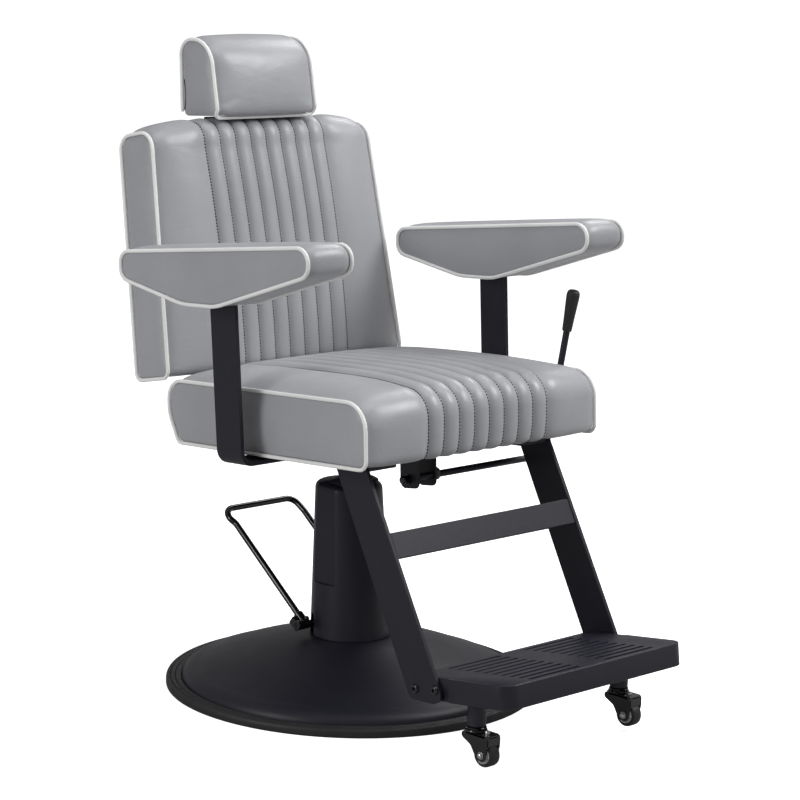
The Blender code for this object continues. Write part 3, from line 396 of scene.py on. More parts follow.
def rounded(corners, steps=8):
    """An outline through corners (a, b, radius), each an arc, and where each arc's middle point is."""
    points = []
    middles = []
    count = len(corners)
    for i, (a, b, radius) in enumerate(corners):
        here = Vector((a, b))
        before = (Vector(corners[i - 1][:2]) - here).normalized()
        after = (Vector(corners[(i + 1) % count][:2]) - here).normalized()
        if radius <= 0.0:
            middles.append(len(points))
            points.append((a, b))
            continue
        half = before.angle(after) / 2.0
        centre = here + (before + after).normalized() * (radius / math.sin(half))
        first = here + before * (radius / math.tan(half)) - centre
        last = here + after * (radius / math.tan(half)) - centre
        turn = first.angle_signed(last)
        middles.append(len(points) + steps // 2)
        for k in range(steps + 1):
            point = centre + Matrix.Rotation(-turn * k / steps, 2) @ first
            points.append((point.x, point.y))
    return points, middles


def outline(corners, steps=8):
    return rounded(corners, steps)[0]


def mm(*points):
    """Points given in millimetres."""
    return [tuple(value / 1000.0 for value in point) for point in points]


def mirrored(half, middle=None):
    """A profile of (radius, height) that is the same below zero as above."""
    return [(r, -h) for r, h in half] + ([middle] if middle else []) + half[::-1]


def evenly(points, count):
    """count + 1 points at even spacing along an open line."""
    line = np.array(points, float)
    steps = np.linalg.norm(np.diff(line, axis=0), axis=1)
    travel = np.concatenate(([0.0], np.cumsum(steps)))
    wanted = np.linspace(0.0, travel[-1], count + 1)
    return np.stack([np.interp(wanted, travel, line[:, k]) for k in range(line.shape[1])], axis=1)


def filleted(points, radius, steps=10):
    """A 3-D path with its inner corners rounded."""
    path = [Vector(points[0])]
    for before, here, after in zip(points, points[1:], points[2:]):
        corner = Vector(here)
        back = (Vector(before) - corner).normalized()
        ahead = (Vector(after) - corner).normalized()
        half = back.angle(ahead) / 2.0
        reach = radius / math.tan(half)
        centre = corner + (back + ahead).normalized() * (radius / math.sin(half))
        start = corner + back * reach - centre
        end = corner + ahead * reach - centre
        for k in range(steps + 1):
            path.append(centre + start.slerp(end, k / steps).normalized() * radius)
    path.append(Vector(points[-1]))
    return path


def circle(maker, centre, across, third, radius, sides):
    """Vertices of a circle in the plane of two directions."""
    angles = [2.0 * math.pi * k / sides for k in range(sides)]
    return [maker.verts.new(centre + (across * math.cos(a) + third * math.sin(a)) * radius) for a in angles]


def swept(path, radius, sides=16, closed=False):
    """A round tube along a path, with domed ends where it is open."""
    line = [Vector(p) for p in path]
    count = len(line)
    maker = bmesh.new()
    rings = []
    across = None
    for i, here in enumerate(line):
        before = line[i - 1] if closed or i else here
        after = line[(i + 1) % count] if closed or i < count - 1 else here
        along = (after - before).normalized()
        if across is None:
            across = along.orthogonal().normalized()
        across = (across - along * across.dot(along)).normalized()
        rings.append(circle(maker, here, across, along.cross(across), radius, sides))
    for near, far in zip(rings, rings[1:]):
        bridge(maker, near, far)
    if closed:
        gaps = [(rings[-1][0].co - v.co).length for v in rings[0]]
        turned_by = gaps.index(min(gaps))
        bridge(maker, rings[-1], rings[0][turned_by:] + rings[0][:turned_by])
        return maker
    for ring, end, back in ((rings[0], line[0], line[1]), (rings[-1], line[-1], line[-2])):
        outward = (end - back).normalized()
        previous = ring
        for lift, share in ((0.5, 0.87), (0.87, 0.5)):
            inner = [maker.verts.new(end + (v.co - end) * share + outward * radius * lift) for v in ring]
            bridge(maker, previous, inner)
            previous = inner
        tip = maker.verts.new(end + outward * radius)
        for k in range(sides):
            maker.faces.new((previous[k], previous[(k + 1) % sides], tip))
    return maker


def cut(target, maker, axes=WORLD_AXES):
    """Cuts a shape out of a piece for good."""
    tool = new_object("cutter", to_mesh("cutter", maker, axes))
    step = target.modifiers.new("cut", "BOOLEAN")
    step.operation = "DIFFERENCE"
    step.solver = "EXACT"
    step.object = tool
    result = evaluated_mesh(target)
    target.modifiers.remove(step)
    material = target.data.materials[0]
    target.data = result
    result.materials.clear()
    result.materials.append(material)
    bpy.data.objects.remove(tool)


# ---- padded pieces


def smooth_step(value, low, high):
    share = np.clip((value - low) / (high - low), 0.0, 1.0)
    return share * share * (3.0 - 2.0 * share)


def pillow(distance, width, power=2.4):
    """Height of a padded cover at a distance from its seam: 0 on the seam, 1 past the width."""
    return 1.0 - (1.0 - np.clip(distance / width, 0.0, 1.0)) ** power


def crowned(xs, half, power):
    """Height share across the width, as a column: 1 in the middle and 0 at the sides."""
    return (1.0 - np.abs(xs / half) ** power)[:, None]


def outward(loop):
    """Outward unit normals of a closed loop."""
    following = np.roll(loop, -1, axis=0)
    ahead = following - np.roll(loop, 1, axis=0)
    normal = np.stack((ahead[:, 1], -ahead[:, 0]), axis=1)
    normal /= np.linalg.norm(normal, axis=1)[:, None]
    area = np.sum(loop[:, 0] * following[:, 1] - following[:, 0] * loop[:, 1])
    return normal if area > 0 else -normal


def quads(*corners):
    """Four-sided faces from four arrays of point numbers."""
    return np.stack(corners, axis=-1).reshape(-1, 4).tolist()


class Padding:
    """A closed cover: a strip that wraps round a side view, and an end panel at each side."""

    def __init__(self, corners, splits, along, up):
        """splits are the corners between the side view's four sides, which have along and up points."""
        self.along = along
        self.up = up
        points, middles = rounded(corners, 12)
        loop = []
        for k, count in enumerate((along, up, along, up)):
            start, end = middles[splits[k]], middles[splits[(k + 1) % 4]]
            stretch = points[start:end + 1] if end > start else points[start:] + points[:end + 1]
            loop.append(evenly(stretch, count)[:-1])
        self.loop = np.concatenate(loop)
        self.normals = outward(self.loop)
        self.count = len(self.loop)

    def facing(self, axis, sign, power=1.0):
        """How far each loop point faces one way, from 0 to 1."""
        return np.clip(sign * self.normals[:, axis], 0.0, 1.0) ** power

    def build(self, across, lift, panel_bulge):
        """across and lift are (stations, loop points) arrays: the x of each point and how far out it lies."""
        place = self.loop + self.normals * lift[:, :, None]
        wrap = np.concatenate((across[:, :, None], place), axis=2)
        strip = np.arange(lift.size).reshape(lift.shape)
        ahead = np.roll(strip, -1, axis=1)
        verts = [wrap.reshape(-1, 3)]
        faces = quads(strip[:-1], ahead[:-1], ahead[1:], strip[1:])
        total = lift.size
        for first, sign in ((0, -1.0), (total - self.count, 1.0)):
            inner, grid = self.panel(verts[0], first, total, sign * panel_bulge)
            verts.append(inner)
            faces += quads(grid[:-1, :-1], grid[1:, :-1], grid[1:, 1:], grid[:-1, 1:])
            total += len(inner)
        return np.concatenate(verts), faces, wrap

    def panel(self, points, first, offset, bulge):
        """The inner points of an end panel, blended from its four sides, and the grid of point numbers."""
        along, up = self.along, self.up
        grid = np.zeros((along + 1, up + 1), int)
        grid[0] = first + self.count - np.arange(up + 1)
        grid[:, 0] = first + np.arange(along + 1)
        grid[:, up] = first + 2 * along + up - np.arange(along + 1)
        grid[along] = first + along + np.arange(up + 1)
        inside = grid[1:-1, 1:-1]
        inside[:] = offset + np.arange(inside.size).reshape(inside.shape)
        s = (np.arange(1, along) / along)[:, None, None]
        t = (np.arange(1, up) / up)[:, None]
        inner = ((1 - t) * points[grid[1:-1, :1]] + t * points[grid[1:-1, up:]]
                 + (1 - s) * points[grid[:1, 1:-1]] + s * points[grid[along:, 1:-1]]
                 - (1 - s) * (1 - t) * points[grid[0, 0]] - s * (1 - t) * points[grid[along, 0]]
                 - (1 - s) * t * points[grid[0, up]] - s * t * points[grid[along, up]])
        swell = pillow(np.minimum(s, 1 - s) * along, 3.0) * pillow(np.minimum(t, 1 - t) * up, 3.0)
        inner[:, :, :1] += bulge * swell
        return inner.reshape(-1, 3), grid


def puff_up(made, pinned, pressure, cap):
    """Fills a cover by a short cloth simulation, holding its seams, and keeps the result."""
    made.vertex_groups.new(name="seams").add(pinned, 1.0, "REPLACE")
    start = np.zeros(len(made.data.vertices) * 3)
    made.data.vertices.foreach_get("co", start)
    cloth = made.modifiers.new("cloth", "CLOTH")
    settings = cloth.settings
    for key, value in (("quality", 5), ("mass", 0.25), ("tension_stiffness", 18.0),
                       ("compression_stiffness", 10.0), ("shear_stiffness", 6.0), ("bending_stiffness", 0.8),
                       ("air_damping", 4.0), ("vertex_group_mass", "seams"), ("use_pressure", True),
                       ("uniform_pressure_force", pressure)):
        setattr(settings, key, value)
    settings.effector_weights.gravity = 0.0
    cloth.collision_settings.use_collision = False
    for number in range(1, 21):
        SCENE.frame_set(number)
    evaluated = made.evaluated_get(bpy.context.evaluated_depsgraph_get())
    end = np.zeros(len(start))
    evaluated.data.vertices.foreach_get("co", end)
    made.modifiers.remove(cloth)
    made.vertex_groups.clear()
    SCENE.frame_set(1)
    move = (end - start).reshape(-1, 3)
    length = np.linalg.norm(move, axis=1)
    share = cap * np.tanh(length / cap) / np.maximum(length, 1e-9)
    settled = start.reshape(-1, 3) + move * share[:, None]
    made.data.vertices.foreach_set("co", settled.ravel())
    made.data.update()


def crease(mesh, lines):
    """Keeps the lines of vertices at the seams sharp when the mesh is subdivided."""
    pairs = {(min(pair), max(pair)) for line in lines for pair in zip(line, line[1:])}
    layer = mesh.attributes.new("crease_edge", "FLOAT", "EDGE")
    values = [0.85 if (min(e.vertices), max(e.vertices)) in pairs else 0.0 for e in mesh.edges]
    layer.data.foreach_set("value", values)


def cushion(name, padding, xs, lift, panel_bulge, axes, body, node, seams=(), pressure=6.0, cap=0.006,
            held=None):
    """Builds, fills and finishes one padded piece, and gives its wrapped points as they were before filling.

    xs is the x of each station or of each point, seams are station numbers and held marks hidden loop points.
    """
    across = np.broadcast_to(xs.reshape(len(xs), -1), lift.shape)
    verts, faces, wrap = padding.build(across, lift, panel_bulge)
    turn, origin = np.array(axes)[:3, :3], np.array(axes)[:3, 3]
    mesh = bpy.data.meshes.new(name)
    mesh.from_pydata((verts @ turn.T + origin).tolist(), [], faces)
    maker = bmesh.new()
    maker.from_mesh(mesh)
    bmesh.ops.recalc_face_normals(maker, faces=maker.faces)
    maker.to_mesh(mesh)
    maker.free()
    made = new_object(name, mesh)
    count = padding.count
    stations = len(xs)
    held = np.zeros(count, bool) if held is None else held
    ends = [list(range(count)), list(range((stations - 1) * count, stations * count))]
    stitched = [[m * count + i for i in range(count) if not held[i]] for m in seams]
    pinned = {i for line in ends + stitched for i in line}
    pinned |= {m * count + i for m in range(stations) for i in range(count) if held[i]}
    puff_up(made, sorted(pinned), pressure, cap)
    crease(mesh, [line + [line[0]] for line in ends] + stitched)
    finer = made.modifiers.new("finer", "SUBSURF")
    finer.levels = 1
    finer.render_levels = 1
    mesh.materials.append(LEATHER)
    mesh.shade_smooth()
    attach(made, body)
    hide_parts(node)
    return wrap @ turn.T + origin


def thread_run(name, lines, body, pitch=0.0056, length=0.0033, radius=0.0013, sides=6):
    """Rows of stitches: each a short bead of near-black thread lying along its seam, its dark colour partly
    the thread's own and partly painted shade of the stitch holes.
    """
    maker = bmesh.new()
    for line in lines:
        pieces = max(2, int(round(np.sum(np.linalg.norm(np.diff(line, axis=0), axis=1)) / pitch)))
        spots = evenly(line, pieces)
        for here, after in zip(spots, spots[1:]):
            along = Vector(after - here).normalized()
            middle = Vector((here + after) / 2.0)
            side = along.orthogonal().normalized()
            third = along.cross(side)
            rings = []
            for shift, share in ((-0.5, 0.35), (-0.3, 0.9), (0.3, 0.9), (0.5, 0.35)):
                centre = middle + along * length * shift
                rings.append(circle(maker, centre, side, third, radius * share, sides))
            for near, far in zip(rings, rings[1:]):
                bridge(maker, near, far)
            maker.faces.new(rings[0])
            maker.faces.new(list(reversed(rings[-1])))
    solid(name, maker, THREAD_DARKENED_AS_HOLE_SHADE, body, smooth_deg=60.0)


def stitch_seams(name, wrap, padding, axes, seams, shown, body):
    """Thread along the shown stretch of each seam, raised a little out of its groove."""
    count = padding.count
    shown = [i for i in range(count) if shown[i]]
    start = next(i for i in shown if (i - 1) % count not in shown)
    order = [(start + k) % count for k in range(len(shown))]
    normals = np.concatenate((np.zeros((count, 1)), padding.normals), axis=1) @ np.array(axes)[:3, :3].T
    thread_run(name, [np.array([wrap[m, i] + normals[i] * STITCH_RISE for i in order]) for m in seams], body)


def pipe_both_ends(name, padding, x_of, axes, body, labels=("right", "left")):
    """White piping round both end panels. x_of gives its x at each height."""
    for sign, label in zip((-1, 1), labels):
        points = [axes @ Vector((sign * (x_of(v) - PIPING_TUCK), u, v)) for u, v in padding.loop]
        solid(f"{name}_{label}", swept(points, PIPING_RADIUS, 14, closed=True), PIPING, body)


def seam_stations(half, channel_cells=8, side_cells=13):
    """x of each station across the width, and which of them are seams."""
    pitch = 2.0 * SEAM_EDGE / CHANNELS
    middle = [-SEAM_EDGE + pitch * k / channel_cells for k in range(CHANNELS * channel_cells + 1)]
    side = []
    for k in range(1, side_cells + 1):
        share = 0.5 - 0.5 * math.cos(math.pi * k / side_cells)
        side.append(SEAM_EDGE + (half - SEAM_EDGE) * (0.35 * k / side_cells + 0.65 * share))
    seams = [side_cells + channel_cells * k for k in range(CHANNELS + 1)]
    return np.array([-x for x in reversed(side)] + middle + side), seams


def channel_puff(xs, half):
    """Rise of the cover across the width, as a column: eight channels, and a plain pad at each side."""
    pitch = 2.0 * SEAM_EDGE / CHANNELS
    cell = np.abs(((xs + SEAM_EDGE) / pitch) % 1.0 - 0.5) * 2.0
    inside = np.clip(1.0 - cell ** 2, 0.0, 1.0) ** 0.7
    reach = np.abs(xs)
    outside = 1.1 * pillow(reach - SEAM_EDGE, 0.03) * pillow(half - reach, 0.034)
    return CHANNEL_PUFF * np.where(reach < SEAM_EDGE - 1e-6, inside, outside)[:, None]


def make_seat():
    corners = [(SEAT_FRONT, SEAT_UNDERSIDE, 0.015), (0.161, SEAT_UNDERSIDE, 0.012), (SEAT_REAR, 0.506, 0.06),
               (SEAT_REAR, SEAT_TOP, 0.034), (SEAT_FRONT, SEAT_TOP, 0.044)]
    padding = Padding(corners, (0, 1, 3, 4), 62, 15)
    half = SEAT_HALF_WIDTH - PIPING_INSET - 0.001
    xs, seams = seam_stations(half)
    y, z = padding.loop[:, 0], padding.loop[:, 1]
    up = padding.facing(1, 1, 1.3)
    front = padding.facing(0, -1, 1.3)
    middle = (SEAT_FRONT + 0.186) / 2.0
    hump = np.clip(1.0 - (np.abs(y - middle) / 0.262) ** 3.4, 0.0, 1.0)
    belly = np.clip(1.0 - (np.abs(z - 0.512) / 0.07) ** 2.0, 0.0, 1.0)
    covered = smooth_step(padding.normals[:, 1], -0.98, -0.55)
    lift = (crowned(xs, half, 3.2) * (0.026 * up * hump + 0.012 * front * belly + 0.014 * up * front)
            + channel_puff(xs, half) * covered - PIPING_INSET)
    wrap = cushion("seat_cushion_cover", padding, xs, lift, 0.0045, SEAT_AXES, "seat", "seat_cushion", seams,
                   held=padding.normals[:, 1] < -0.9)
    stitch_seams("seat_stitches", wrap, padding, SEAT_AXES, seams, padding.normals[:, 1] > -0.75, "seat")
    pipe_both_ends("seat_piping", padding, lambda v: SEAT_HALF_WIDTH, SEAT_AXES, "seat")


def make_back():
    padding = Padding([(0.0, 0.002, 0.013), (BACK_THICK, 0.002, 0.013), (BACK_THICK, BACK_HEIGHT, 0.026),
                       (0.0, BACK_HEIGHT, 0.03)], (0, 1, 2, 3), 14, 54)
    height = padding.loop[:, 1]

    def half_at(v):
        return BACK_HALF_BOTTOM + (BACK_HALF_TOP - BACK_HALF_BOTTOM) * np.clip(v / BACK_HEIGHT, 0.0, 1.0)

    half = float(half_at(BACK_HEIGHT / 2.0)) - PIPING_INSET
    xs, seams = seam_stations(half)
    share = np.clip((np.abs(xs) - SEAM_EDGE) / (half - SEAM_EDGE), 0.0, 1.0)
    widen = half_at(height) - PIPING_INSET - 0.001 - half
    across = xs[:, None] + np.sign(xs)[:, None] * share[:, None] * widen
    front = padding.facing(0, -1, 1.3)
    up = padding.facing(1, 1, 1.3)
    rear = padding.facing(0, 1)
    lumbar = np.clip(1.0 - ((height / BACK_HEIGHT - 0.46) / 0.58) ** 2, 0.0, 1.0)
    crown = crowned(xs, half, 2.6)
    shown = smooth_step(-padding.normals[:, 0] + padding.normals[:, 1], -0.9, -0.1)
    low = smooth_step(padding.normals[:, 1], -0.95, -0.5)
    recess = smooth_step(half - np.abs(xs), 0.045, 0.052)[:, None] * (
        smooth_step(height, 0.026, 0.034) * smooth_step(-height, -0.392, -0.384) * (rear > 0.9))
    lift = (crown * (0.0175 * front * lumbar + 0.003 * up * front) + 0.0175 * crowned(xs, half, 4.5) * up
            + channel_puff(xs, half) * (shown * low) + 0.003 * crown * rear - 0.0095 * recess - PIPING_INSET)
    wrap = cushion("back_cushion_cover", padding, across, lift, 0.0045, BACK_AXES, "backrest", "back_cushion",
                   seams, held=rear > 0.9)
    stitch_seams("back_stitches", wrap, padding, BACK_AXES, seams, (shown > 0.5) & (low > 0.3), "backrest")
    pipe_both_ends("back_piping", padding, lambda v: float(half_at(v)), BACK_AXES, "backrest")

    def panel_outline(edge, low_edge, high_edge, corner):
        return outline([(-edge, low_edge, corner), (edge, low_edge, corner), (edge, high_edge, corner),
                        (-edge, high_edge, corner)], 6)

    panel = prism(panel_outline(0.213, 0.032, 0.383, 0.016), 0.0832, 0.0892, "Y")
    solid("back_rear_cover", panel, LEATHER, "backrest", ("back_rear_panel",), BACK_AXES, bevel=0.0022,
          segments=4)
    rim = panel_outline(0.2055, 0.0395, 0.3755, 0.012)
    seam = np.array([tuple(BACK_AXES @ Vector((x, 0.0893, z))) for x, z in rim + rim[:1]])
    thread_run("back_rear_stitches", [seam], "backrest")


def make_headrest():
    padding = Padding([(0.222, 1.0095, 0.014), (0.3205, 1.0095, 0.014), (0.3205, 1.147, 0.028),
                       (0.241, 1.147, 0.052)], (0, 1, 2, 3), 22, 26)
    half = HEADREST_HALF_WIDTH - PIPING_INSET - 0.001
    spread = np.linspace(-1.0, 1.0, 31)
    xs = np.sin(spread * math.pi / 2.0) * 0.35 * half + spread * 0.65 * half
    y, z = padding.loop[:, 0], padding.loop[:, 1]
    covered = smooth_step(padding.normals[:, 1], -0.98, -0.5)
    puff = 0.0078 * pillow(half - np.abs(xs), 0.03)[:, None]
    bulge = (0.0095 * padding.facing(0, -1, 1.2) * np.clip(1.0 - ((z - 1.075) / 0.075) ** 2, 0.0, 1.0)
             + 0.0025 * padding.facing(1, 1, 1.2) + 0.004 * padding.facing(0, 1, 1.2))
    lift = crowned(xs, half, 2.4) * bulge + puff * covered - PIPING_INSET
    cushion("headrest_cover", padding, xs, lift, 0.004, SEAT_AXES, "headrest", "headrest_cushion",
            held=padding.normals[:, 1] < -0.9)
    # The piping goes from low on the rear over the top and down the front, and back up the other side.
    rear_low = int(np.argmin(np.abs(z - 1.022) + (padding.normals[:, 0] < 0.9) * 1.0))
    front_low = int(np.argmin(np.abs(z - 1.0125) + (padding.normals[:, 0] > -0.3) * 1.0))
    count = padding.count
    spots = [(rear_low + k) % count for k in range((front_low - rear_low) % count + 1)]
    edge = HEADREST_HALF_WIDTH - PIPING_TUCK
    side = [Vector((-edge, y[k], z[k])) for k in spots]
    before, corner = side[-4], side[-1]
    bend = filleted([before, corner + (corner - before).normalized() * 0.004,
                     Vector((0.0, corner.y, corner.z))], 0.012, 6)
    path = side[:-4] + bend[:-1]
    path += [Vector((-p.x, p.y, p.z)) for p in reversed(path)]
    solid("headrest_piping", moved(swept(path, PIPING_RADIUS, 14), SEAT_AXES), PIPING, "headrest")
    zip_line = [Vector((-half - 0.004, 0.3115 - 0.0035 * math.sin(math.pi * k / 10.0), 1.024 + 0.0052 * k))
                for k in range(11)]
    solid("headrest_zip", moved(swept(zip_line, 0.0011, 8), SEAT_AXES), RUBBER, "headrest")
    beside = np.array([tuple(SEAT_AXES @ (p + Vector((0.0002, -0.0042, 0.0)))) for p in zip_line])
    thread_run("headrest_zip_stitches", [beside], "headrest", pitch=0.004, length=0.0026, radius=0.0005)


def make_armrests():
    corners = [(-0.2905, 0.7745, 0.022), (-0.062, 0.7125, 0.12), (0.022, 0.7125, 0.16),
               (0.1825, 0.7475, 0.021), (0.1825, 0.7925, 0.021), (-0.2905, 0.8195, 0.024)]
    middle = (ARM_OUTER + ARM_INNER) / 2.0
    width = ARM_OUTER - ARM_INNER
    half = width / 2.0 - PIPING_INSET - 0.0005
    for sign, label in SIDES:
        padding = Padding(corners, (0, 3, 4, 5), 58, 9)
        xs = np.linspace(-half, half, 15)
        xs = half * (0.7 * xs / half + 0.3 * np.sin(xs / half * math.pi / 2.0))
        puff = 0.005 * pillow(half - np.abs(xs), 0.022)[:, None]
        under = smooth_step(padding.normals[:, 1], -0.99, -0.2)
        top = 0.004 * crowned(xs, half, 2.4) * padding.facing(1, 1)
        lift = top + puff * (0.85 + 0.15 * under) - PIPING_INSET
        centre = SEAT_AXES @ Matrix.Translation((sign * middle, 0.0, 0.0))
        cushion(f"armrest_cover_{label}", padding, xs, lift, 0.0022, centre, "seat", f"armrest_{label}",
                pressure=3.0, cap=0.003)
        pipe_both_ends(f"armrest_piping_{label}", padding, lambda v: width / 2.0, centre, "seat", "ab")


# ---- base, pump and pedal

COVER_TOP = 0.377
COVER_SHOULDER = 0.36
COVER_LEDGE = 0.19
COVER_FOOT = 0.0928
COVER_FOOT_CENTRE = 0.0925       # the height at which the cover's lower circle is measured


def make_base():
    skirt = mm((302.2, 8.3), (301.9, 13), (301, 17.2), (299, 21.2), (296, 24.8), (291.8, 28.3), (287, 31.2),
               (282, 33.3), (277, 34.8), (272.5, 36))
    slope = mm((269, 37.4), (260, 41), (250, 44.8), (233, 51.3), (215, 57.7), (195, 64.3), (175, 70.2),
               (155, 75.8), (135, 81), (118, 85.9), (108, 88.5), (100, 90.1), (90, 91.4), (80, 92.1),
               (66, 92.5))
    outer = skirt + slope
    inner = [(r - 0.0024, max(z - 0.0016, 0.0083)) for r, z in reversed(outer)]
    solid("base_dome_shell", turned(outer + inner, 192, closed=True), DOME_BLACK, "base", ("base_dome",),
          smooth_deg=50)
    ring = mm((302.5, 0), (328, 0), (329.6, 0.6), (330, 2), (330, 9.8), (329.6, 11.8), (328.3, 14),
              (326.8, 15.2), (325, 15.5), (323.4, 14.6), (322.4, 12.8), (321.4, 14.6), (319.8, 15.5),
              (316.2, 15.5), (314.6, 14.6), (313.6, 12.8), (312.6, 14.6), (311, 15.5), (306.6, 15.5),
              (304.4, 15), (302.5, 13.6))
    solid("base_ring", turned(ring, 192, closed=True), RUBBER, "base", ("base_trim_ring",), smooth_deg=50)
    cover = make_pump_cover()
    notch = outline(mm((28, 90, 0), (52, 90, 0), (52, 132, 11.5), (28, 132, 11.5)))
    cut(cover, prism(notch, -0.12, 0.12, "X"))
    collar = mm((22.8, 356.3), (28.3, 356.3), (28.5, 360), (28.5, 376.5), (27.8, 378.5), (26.2, 379.6),
                (24.5, 380), (23.2, 379.2), (22.8, 377.5))
    solid("ram_wiper", turned(collar, 64, closed=True), RUBBER, "base", ("wiper_seal",))
    ram = mm((0, 30), (26.2, 30), (26.2, 50), (22.5, 52), (22.5, 397.2), (21.7, 398), (16, 398), (16, 418),
             (15, 419), (0, 419.5))
    solid("ram_rod", turned(ram, 64), STEEL, "lift", ("lift_ram",))


def cover_ring(height, inset=0.0, flat=True, count=160, blend=0.0004):
    """One ring of the pump cover: a circle set back from the pump's axis, with softly flattened sides."""
    fall = max((COVER_SHOULDER - height) / (COVER_SHOULDER - COVER_FOOT_CENTRE), 0.0)
    radius = 0.0595 + (0.0715 - 0.0595) * fall - inset
    shift = 0.0178 + (0.0045 - 0.0178) * fall
    share = min((height - COVER_LEDGE) / (COVER_SHOULDER - COVER_LEDGE), 1.0)
    limit = 0.0615 + (0.055 - 0.0615) * share - inset
    ring = []
    for i in range(count):
        angle = 2.0 * math.pi * (i + 0.5) / count
        reach = radius * math.cos(angle)
        size = abs(reach)
        soft = 0.5 * (size + limit - math.hypot(size - limit, blend)) if flat else size
        ring.append((math.copysign(max(soft, 0.0), reach), shift + radius * math.sin(angle), height))
    return ring


def make_pump_cover():
    """The tapering tower, from its foot over the ledge and the shoulder to the hole for the ram, and back."""
    rings = [cover_ring(COVER_FOOT + 0.0005 * k, 0.0004 * (1 - k), flat=False) for k in (0, 1)]
    rings += [cover_ring(h, flat=False) for h in (0.115, 0.135, 0.16, 0.18, 0.1885)]
    rings += [cover_ring(COVER_LEDGE - 0.0003, flat=False), cover_ring(COVER_LEDGE)]
    rings += [cover_ring(h) for h in (0.1912, 0.215, 0.25, 0.29, 0.325, 0.352)]
    for turn in range(1, 13):
        angle = math.radians(7.5 * turn)
        height = COVER_SHOULDER - 0.004 + 0.011 * math.sin(angle)
        rings.append(cover_ring(height, 0.011 * (1.0 - math.cos(angle))))
    count = len(rings[0])
    for radius, height in ((0.04, 0.3735), (0.0345, 0.3765), (0.0305, COVER_TOP), (0.0292, 0.3764),
                           (0.0292, 0.37)):
        angles = [2.0 * math.pi * (i + 0.5) / count for i in range(count)]
        rings.append([(radius * math.cos(a), radius * math.sin(a), height) for a in angles])
    rings += [cover_ring(h, 0.003, flat=h > COVER_LEDGE) for h in (0.357, 0.25, 0.1912, 0.188, COVER_FOOT)]
    maker = bmesh.new()
    loops = [[maker.verts.new(p) for p in ring] for ring in rings]
    for near, far in zip(loops, loops[1:] + loops[:1]):
        bridge(maker, near, far)
    return solid("pump_tower", maker, BLACK, "base", ("pump_cover",), smooth_deg=14)


def socket_screw(radius, height, hex_size, facets=40):
    """A button head about Z, from 0 up, with a six-sided socket."""
    maker = turned([(0.0, 0.0), (radius * 0.97, 0.0), (radius, height * 0.08), (radius, height * 0.35),
                    (radius * 0.94, height * 0.62), (radius * 0.8, height * 0.86),
                    (radius * 0.62, height)], facets)
    rim = [v for v in maker.verts if abs(v.co.z - height) < 1e-7]
    rim.sort(key=lambda v: math.atan2(v.co.y, v.co.x))

    def hexagon(scale, level):
        points = []
        for v in rim:
            angle = math.atan2(v.co.y, v.co.x)
            local = (angle % (math.pi / 3.0)) - math.pi / 6.0
            reach = hex_size * scale * math.cos(math.pi / 6.0) / math.cos(local)
            points.append(maker.verts.new((reach * math.cos(angle), reach * math.sin(angle), level)))
        return points

    mouth = hexagon(1.0, height)
    bottom = hexagon(0.97, height * 0.35)
    bridge(maker, rim, mouth)
    bridge(maker, mouth, bottom)
    maker.faces.new(bottom)
    return maker


PEDAL_AXIS = Vector((0.0, 0.04, 0.113))
PEDAL_RISE = 37.6
PEDAL_ARM_X = {-1: -0.078, 1: 0.09}      # x of the arms at their hubs, right and left
PEDAL_END_X = {-1: -0.0975, 1: 0.085}    # x of the loop's outer corners
HUB_NEAR, HUB_FAR = 0.07, 0.0985


def make_pedal():
    lean = rotation(PEDAL_RISE, "X")
    corners = []
    for side in (-1, 1):
        spots = [(PEDAL_ARM_X[side], 0.0075), (PEDAL_ARM_X[side], 0.243), (PEDAL_END_X[side], 0.277)]
        corners += [PEDAL_AXIS + lean @ Vector((x, reach, 0.0)) for x, reach in spots[::-side]]
    solid("pedal_bar", swept(filleted(corners, 0.02, 14), 0.0058, 20), GLOSS, "pedal", ("pedal_loop",),
          smooth_deg=60)
    half = (HUB_FAR - HUB_NEAR) / 2.0
    barrel = mirrored([(0.0, half - 0.001), (0.004, half - 0.001), (0.0046, half), (0.0078, half),
                       (0.0088, half - 0.001)])
    for side, label in SIDES:
        middle = side * (HUB_NEAR + HUB_FAR) / 2.0
        clamp = box((middle - half + 0.001, -0.004, -0.0103), (middle + half - 0.001, 0.0175, 0.0045))
        lug = turned(mm((0, 6), (8.8, 6), (8.8, 22.5), (7.8, 24), (0, 24)), 32)
        lug = at(moved(lug, rotation(PEDAL_RISE - 90.0, "X")), PEDAL_ARM_X[side])
        screw = at(socket_screw(0.0048, 0.0048, 0.0027, 36), middle - side * 0.0082, -0.002, 0.0092)
        whole = merged(along_x(turned(barrel, 36), middle), moved(clamp, lean), lug, screw)
        solid(f"pedal_clamp_{label}", at(whole, *PEDAL_AXIS), GLOSS, "pedal", (f"pedal_hub_{label}",),
              bevel=0.0006, segments=2)


# ---- arms, footrest and casters


def make_arm_brackets():
    low = UNDER_BOARD - POST_THICK
    post_in = POST_OUTER - POST_THICK
    for side, label in SIDES:
        bend = outline([(side * 0.146, low, 0.0), (side * POST_OUTER, low, 0.026),
                        (side * POST_OUTER, 0.738, 0.0), (side * post_in, 0.738, 0.0),
                        (side * post_in, UNDER_BOARD, 0.018), (side * 0.146, UNDER_BOARD, 0.0)], 14)
        post = prism(bend, POST_FRONT, POST_BACK, "Y")
        for vert in post.verts:
            above = max(0.0, vert.co.z - low - 0.026)
            vert.co.x += side * POST_SPLAY * above
            vert.co.y += POST_LEAN * above
        solid(f"arm_post_{label}", post, BLACK, "seat", (f"arm_bracket_{label}",), SEAT_AXES, bevel=0.0012)


